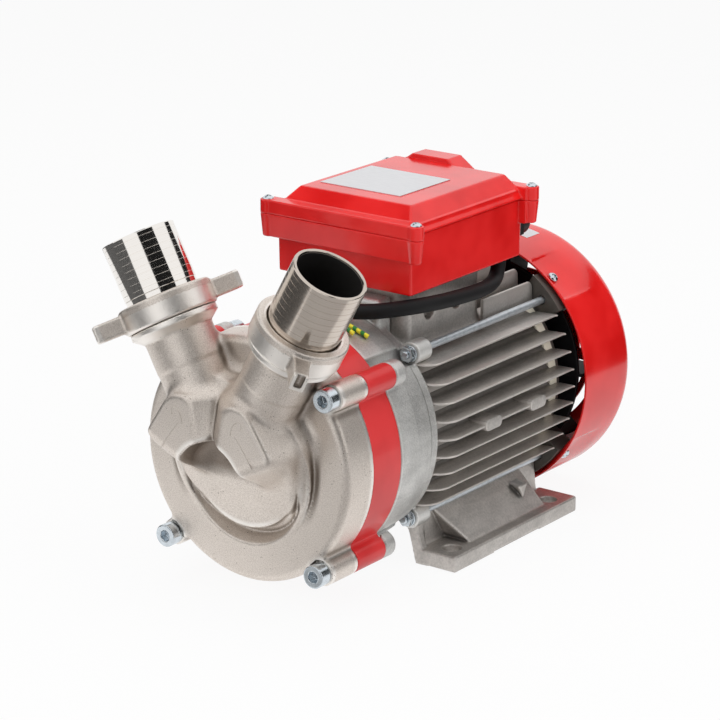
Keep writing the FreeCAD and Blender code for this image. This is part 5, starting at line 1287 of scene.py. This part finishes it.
CORD_D = 8.8 * MM
CORD_ROUTE = [
    (38.5, 28.6, 164.0), (38.5, 28.6, 157.5), (39.5, 25.9, 152.2), (41.2, 21.1, 149.1),
    (45.1, 10.3, 148.4), (47.8, -4.0, 149.0), (49.4, -21.0, 150.4), (49.8, -38.0, 151.6),
    (48.9, -54.0, 152.9), (45.3, -68.0, 153.5), (38.2, -78.5, 153.0), (29.6, -85.0, 151.9),
    (21.5, -89.5, 151.8),
]
CORE_D = 2.6 * MM
CORE_ROUTES = [
    [(21.5, -89.5, 149.5), (16.0, -92.6, 149.6), (13.0, -97.6, 150.2),
     (17.5, -101.5, 149.6), (26.5, -99.0, 146.8), (36.0, -95.5, 141.3)],
    [(20.8, -88.3, 153.4), (14.5, -91.5, 153.0), (8.0, -96.5, 152.6), (7.0, -103.5, 151.9)],
    [(22.4, -91.1, 153.1), (17.5, -95.0, 152.6), (18.0, -100.5, 151.4),
     (25.0, -104.5, 147.8), (32.0, -103.5, 144.2)],
]


def line_piece(name, route, diameter):
    """Round bar or lead whose centre line is a NURBS curve over the route's points, given in
    millimetres."""
    curve = bpy.data.curves.new(name, "CURVE")
    curve.dimensions = "3D"
    spline = curve.splines.new("NURBS")
    spline.points.add(len(route) - 1)
    for point, place in zip(spline.points, route):
        point.co = (*[p * MM for p in place], 1)
    spline.order_u = 3
    spline.use_endpoint_u = True
    spline.resolution_u = 12
    curve.bevel_depth = diameter / 2
    curve.bevel_resolution = 6
    curve.use_fill_caps = True
    piece = bpy.data.objects.new(name, curve)
    bpy.context.scene.collection.objects.link(piece)
    return piece


def supply_lead(rubber, insulation):
    """The lead under the box and the cores at its stripped end."""
    lead = line_piece("lead", CORD_ROUTE, CORD_D)
    settle(lead, rubber, "pump_unit", "black_rubber", "supply_cord")
    cores = [line_piece("core_%d" % number, route, CORE_D) for number, route in enumerate(CORE_ROUTES, 1)]
    for core in cores:
        settle(core, insulation, "pump_unit", "core_insulation")
    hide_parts("supply_cores")


# Camera, floor and lights

CAMERA_AZIMUTH = math.radians(36.53)
CAMERA_HEIGHT = math.radians(17.40)
CAMERA_ROLL = math.radians(0.17)
CAMERA_DISTANCE = 1656.44 * MM
SENSOR_WIDTH = 36
FOCUS_PIXELS, IMAGE_PIXELS = 2830.43, 720
AIM = Vector((0, 0, 110 * MM))
AIM_RIGHT = -32.36 * MM
AIM_UP = -12.20 * MM
CAMERA_SIDE = CAMERA_AZIMUTH - math.pi / 2


def camera():
    """Camera at a turn, a height and a roll round the object, moved a little across its view."""
    back = Vector((math.sin(CAMERA_AZIMUTH) * math.cos(CAMERA_HEIGHT),
                   -math.cos(CAMERA_AZIMUTH) * math.cos(CAMERA_HEIGHT), math.sin(CAMERA_HEIGHT)))
    right = Vector((math.cos(CAMERA_AZIMUTH), math.sin(CAMERA_AZIMUTH), 0))
    up = back.cross(right)
    c, s = math.cos(CAMERA_ROLL), math.sin(CAMERA_ROLL)
    across, upward = right * c + up * s, up * c - right * s
    place = AIM + right * AIM_RIGHT + up * AIM_UP + back * CAMERA_DISTANCE
    lens = bpy.data.cameras.new("camera")
    lens.lens = FOCUS_PIXELS / IMAGE_PIXELS * SENSOR_WIDTH
    lens.sensor_width = SENSOR_WIDTH
    lens.clip_start, lens.clip_end = 0.05, 20
    view = bpy.data.objects.new("camera", lens)
    turn = Matrix((across, upward, back)).transposed().to_4x4()
    view.matrix_world = Matrix.Translation(place) @ turn
    bpy.context.scene.collection.objects.link(view)
    bpy.context.scene.camera = view


def split_by_ray(owner, output, lit, shown, share):
    """Makes a material or the world of two shaders, each a node type with its inputs: lit for the
    light that it sends on, and shown, by its share, for camera, glossy and transmission rays."""
    tree = Tree(owner)
    tree.nodes.clear()
    camera_ray, glossy, through = (tree.node("LightPath", output=name) for name in (
        "Is Camera Ray", "Is Glossy Ray", "Is Transmission Ray"))
    seen = camera_ray.math("MAXIMUM", glossy).math("MAXIMUM", through) * share
    mixed = tree.node("MixShader", None, {0: seen, 1: tree.node(lit[0], None, lit[1]),
                                          2: tree.node(shown[0], None, shown[1])})
    tree.feed(tree.nodes.new("ShaderNode" + output).inputs[0], mixed)


def floor_and_world():
    """A wide floor, plain paint for light and mostly white to look at, so that only a soft shadow
    stays on it, and a world that lights a little and shows white."""
    floor_paint = bpy.data.materials.new("floor_paint")
    split_by_ray(floor_paint, "OutputMaterial", ("BsdfDiffuse", {"Color": (FLOOR_SHADE,) * 3}),
                 ("Emission", {"Strength": 1}), FLOOR_WHITE)
    corners = [(sx * FLOOR_REACH, sy * FLOOR_REACH, FLOOR_Z)
               for sx, sy in ((-1, -1), (1, -1), (1, 1), (-1, 1))]
    floor = mesh_piece("floor", corners, [[0, 1, 2, 3]])
    floor.data.materials.append(floor_paint)
    world = bpy.data.worlds.new("studio")
    bpy.context.scene.world = world
    white = (1, 1, 1)
    split_by_ray(world, "OutputWorld", ("Background", {"Color": white, "Strength": WORLD_LIGHT}),
                 ("Background", {"Color": white}), 1)


FLOOR_REACH, FLOOR_Z = 6.0, -0.0004
FLOOR_SHADE, FLOOR_WHITE = 0.8, 0.92
WORLD_LIGHT = 0.32
SCREEN_R = 0.95
# Dark screens round the object: turns from the camera's side, foot's reach, heights and shade
SCREENS = [(-9, 46, 0.95, 0.1, 0.95, 0.02), (85, 132, 0.45, 0.001, 0.65, 0.02),
           (-160, -46, 0.54, 0.001, 0.3, 0.12), (-150, -92, 0.95, 1.1, 2.2, 0.02),
           (-42, 62, 0.2, 0.001, 0.002, 0.5)]


def dark_screen(name, turn_from, turn_to, reach, low, high, shade):
    """Curved dark screen that only reflections see: part of an upright cylinder, its foot drawn
    in along the floor."""
    dull = Finish(name, (shade,) * 3, 1.0)
    dull.set("Specular IOR Level", 0.0)
    turns = CAMERA_SIDE + np.radians(np.linspace(turn_from, turn_to, 25))
    ring = np.stack([np.cos(turns), np.sin(turns), np.zeros(25)], 1)
    levels = [(reach, low), (SCREEN_R, low), (SCREEN_R, high)]
    points = np.concatenate([ring * radius + (0, 0, level) for radius, level in levels])
    first = np.arange(24)
    quads = np.stack([first, first + 1, first + 26, first + 25], 1)
    screen = mesh_piece(name, points, np.concatenate([quads, quads + 25]))
    screen.data.materials.append(dull.made)
    screen.visible_camera = False
    screen.visible_diffuse = False
    screen.visible_shadow = False
    screen.visible_transmission = False


def lamp(name, place, target, size, power):
    """Soft lamp of a given width and height, turned to its target, that metal doesn't show."""
    light = bpy.data.lights.new(name, "AREA")
    light.shape = "RECTANGLE"
    light.size, light.size_y = size
    light.energy = power
    made = bpy.data.objects.new(name, light)
    turn = (Vector(target) - Vector(place)).to_track_quat("-Z", "Y").to_matrix().to_4x4()
    made.matrix_world = Matrix.Translation(place) @ turn
    made.visible_glossy = False
    bpy.context.scene.collection.objects.link(made)


def round_about(turn, distance, height):
    """A place given by its turn from the camera's side."""
    angle = CAMERA_SIDE + math.radians(turn)
    return (distance * math.cos(angle), distance * math.sin(angle), height)


def studio():
    """Three soft lamps and the dark screens."""
    middle = (0, -0.03, 0.11)
    lamp("soft_left", round_about(-28, 1.8, 0.85), middle, (1.9, 2.1), 15)
    lamp("soft_right", round_about(65, 1.8, 0.95), middle, (1.9, 2.1), 16)
    lamp("top", (-0.1, -0.1, 1.6), middle, (1.9, 1.9), 18)
    for number, screen in enumerate(SCREENS, 1):
        dark_screen("screen_%d" % number, *screen)


# Pieces and their finishes

nickel = cast_nickel()
# The tails are alike: the right one's darker, warmer colour is painted shade and reflection.
chrome = {"left": polished_chrome("polished_chrome", 0.07, rgb(243, 239, 234)),
          "right": polished_chrome("shaded_satin_chrome", 0.15, rgb(214, 203, 192))}
red_ring = painted_red("red_ring", rgb(210, 40, 42), 0.42, 0.02)
red_gloss = painted_red("red_gloss", rgb(222, 16, 15), 0.2, 0.008)
die_cast = cast_aluminium("die_cast", rgb(194, 189, 184), 1.4, 0.1, 0.46)
bracket_cast = cast_aluminium("bracket_cast", rgb(208, 207, 204), 1.0, 0.3, 0.42)
zinc = plated_steel("zinc_steel", rgb(216, 224, 230), 0.22)
black_plastic = moulded("black_plastic", rgb(24, 24, 25), 0.45)
black_rubber = moulded("black_rubber", rgb(15, 15, 16), 0.6)
insulation = core_insulation()
plate = bare_plate()
bright_steel = machined("bright_steel", rgb(200, 200, 200), 0.25)
lamination = laminations()
copper = wound_copper()
yellow_brass = machined("yellow_brass", rgb(205, 170, 92), 0.3)
seat_ceramic = moulded("seat_ceramic", rgb(222, 218, 208), 0.3)
pale_case = moulded("pale_case", rgb(214, 214, 208), 0.35)
LOOKS = {
    "nickel_casting": nickel, "polished_chrome": chrome["left"], "red_ring": red_ring,
    "red_gloss": red_gloss, "cast_aluminium": die_cast, "bracket_aluminium": bracket_cast,
    "zinc_steel": zinc, "black_plastic": black_plastic, "black_rubber": black_rubber,
    "core_insulation": insulation, "plate_metal": plate, "bright_steel": bright_steel,
    "core_steel": lamination, "copper_windings": copper, "impeller_brass": yellow_brass,
    "ceramic": seat_ceramic, "capacitor_case": pale_case,
}
for part in frame["record"]["subparts"]:
    LOOKS[part["material_slot"]].dress(frame["nodes"][part["node"]])

rear_casting().dress(frame["nodes"]["rear_shield"])

camera()
floor_and_world()
studio()
supply_lead(black_rubber, insulation)
pump_head(nickel, red_ring, bracket_cast)
terminal_box(red_gloss)
fan_end(red_gloss, black_plastic, plate)
flow_marks(nickel)
motor_frame(die_cast)
fasteners(zinc)
port_fittings(nickel, chrome)

bpy.context.scene.view_settings.view_transform = "Standard"
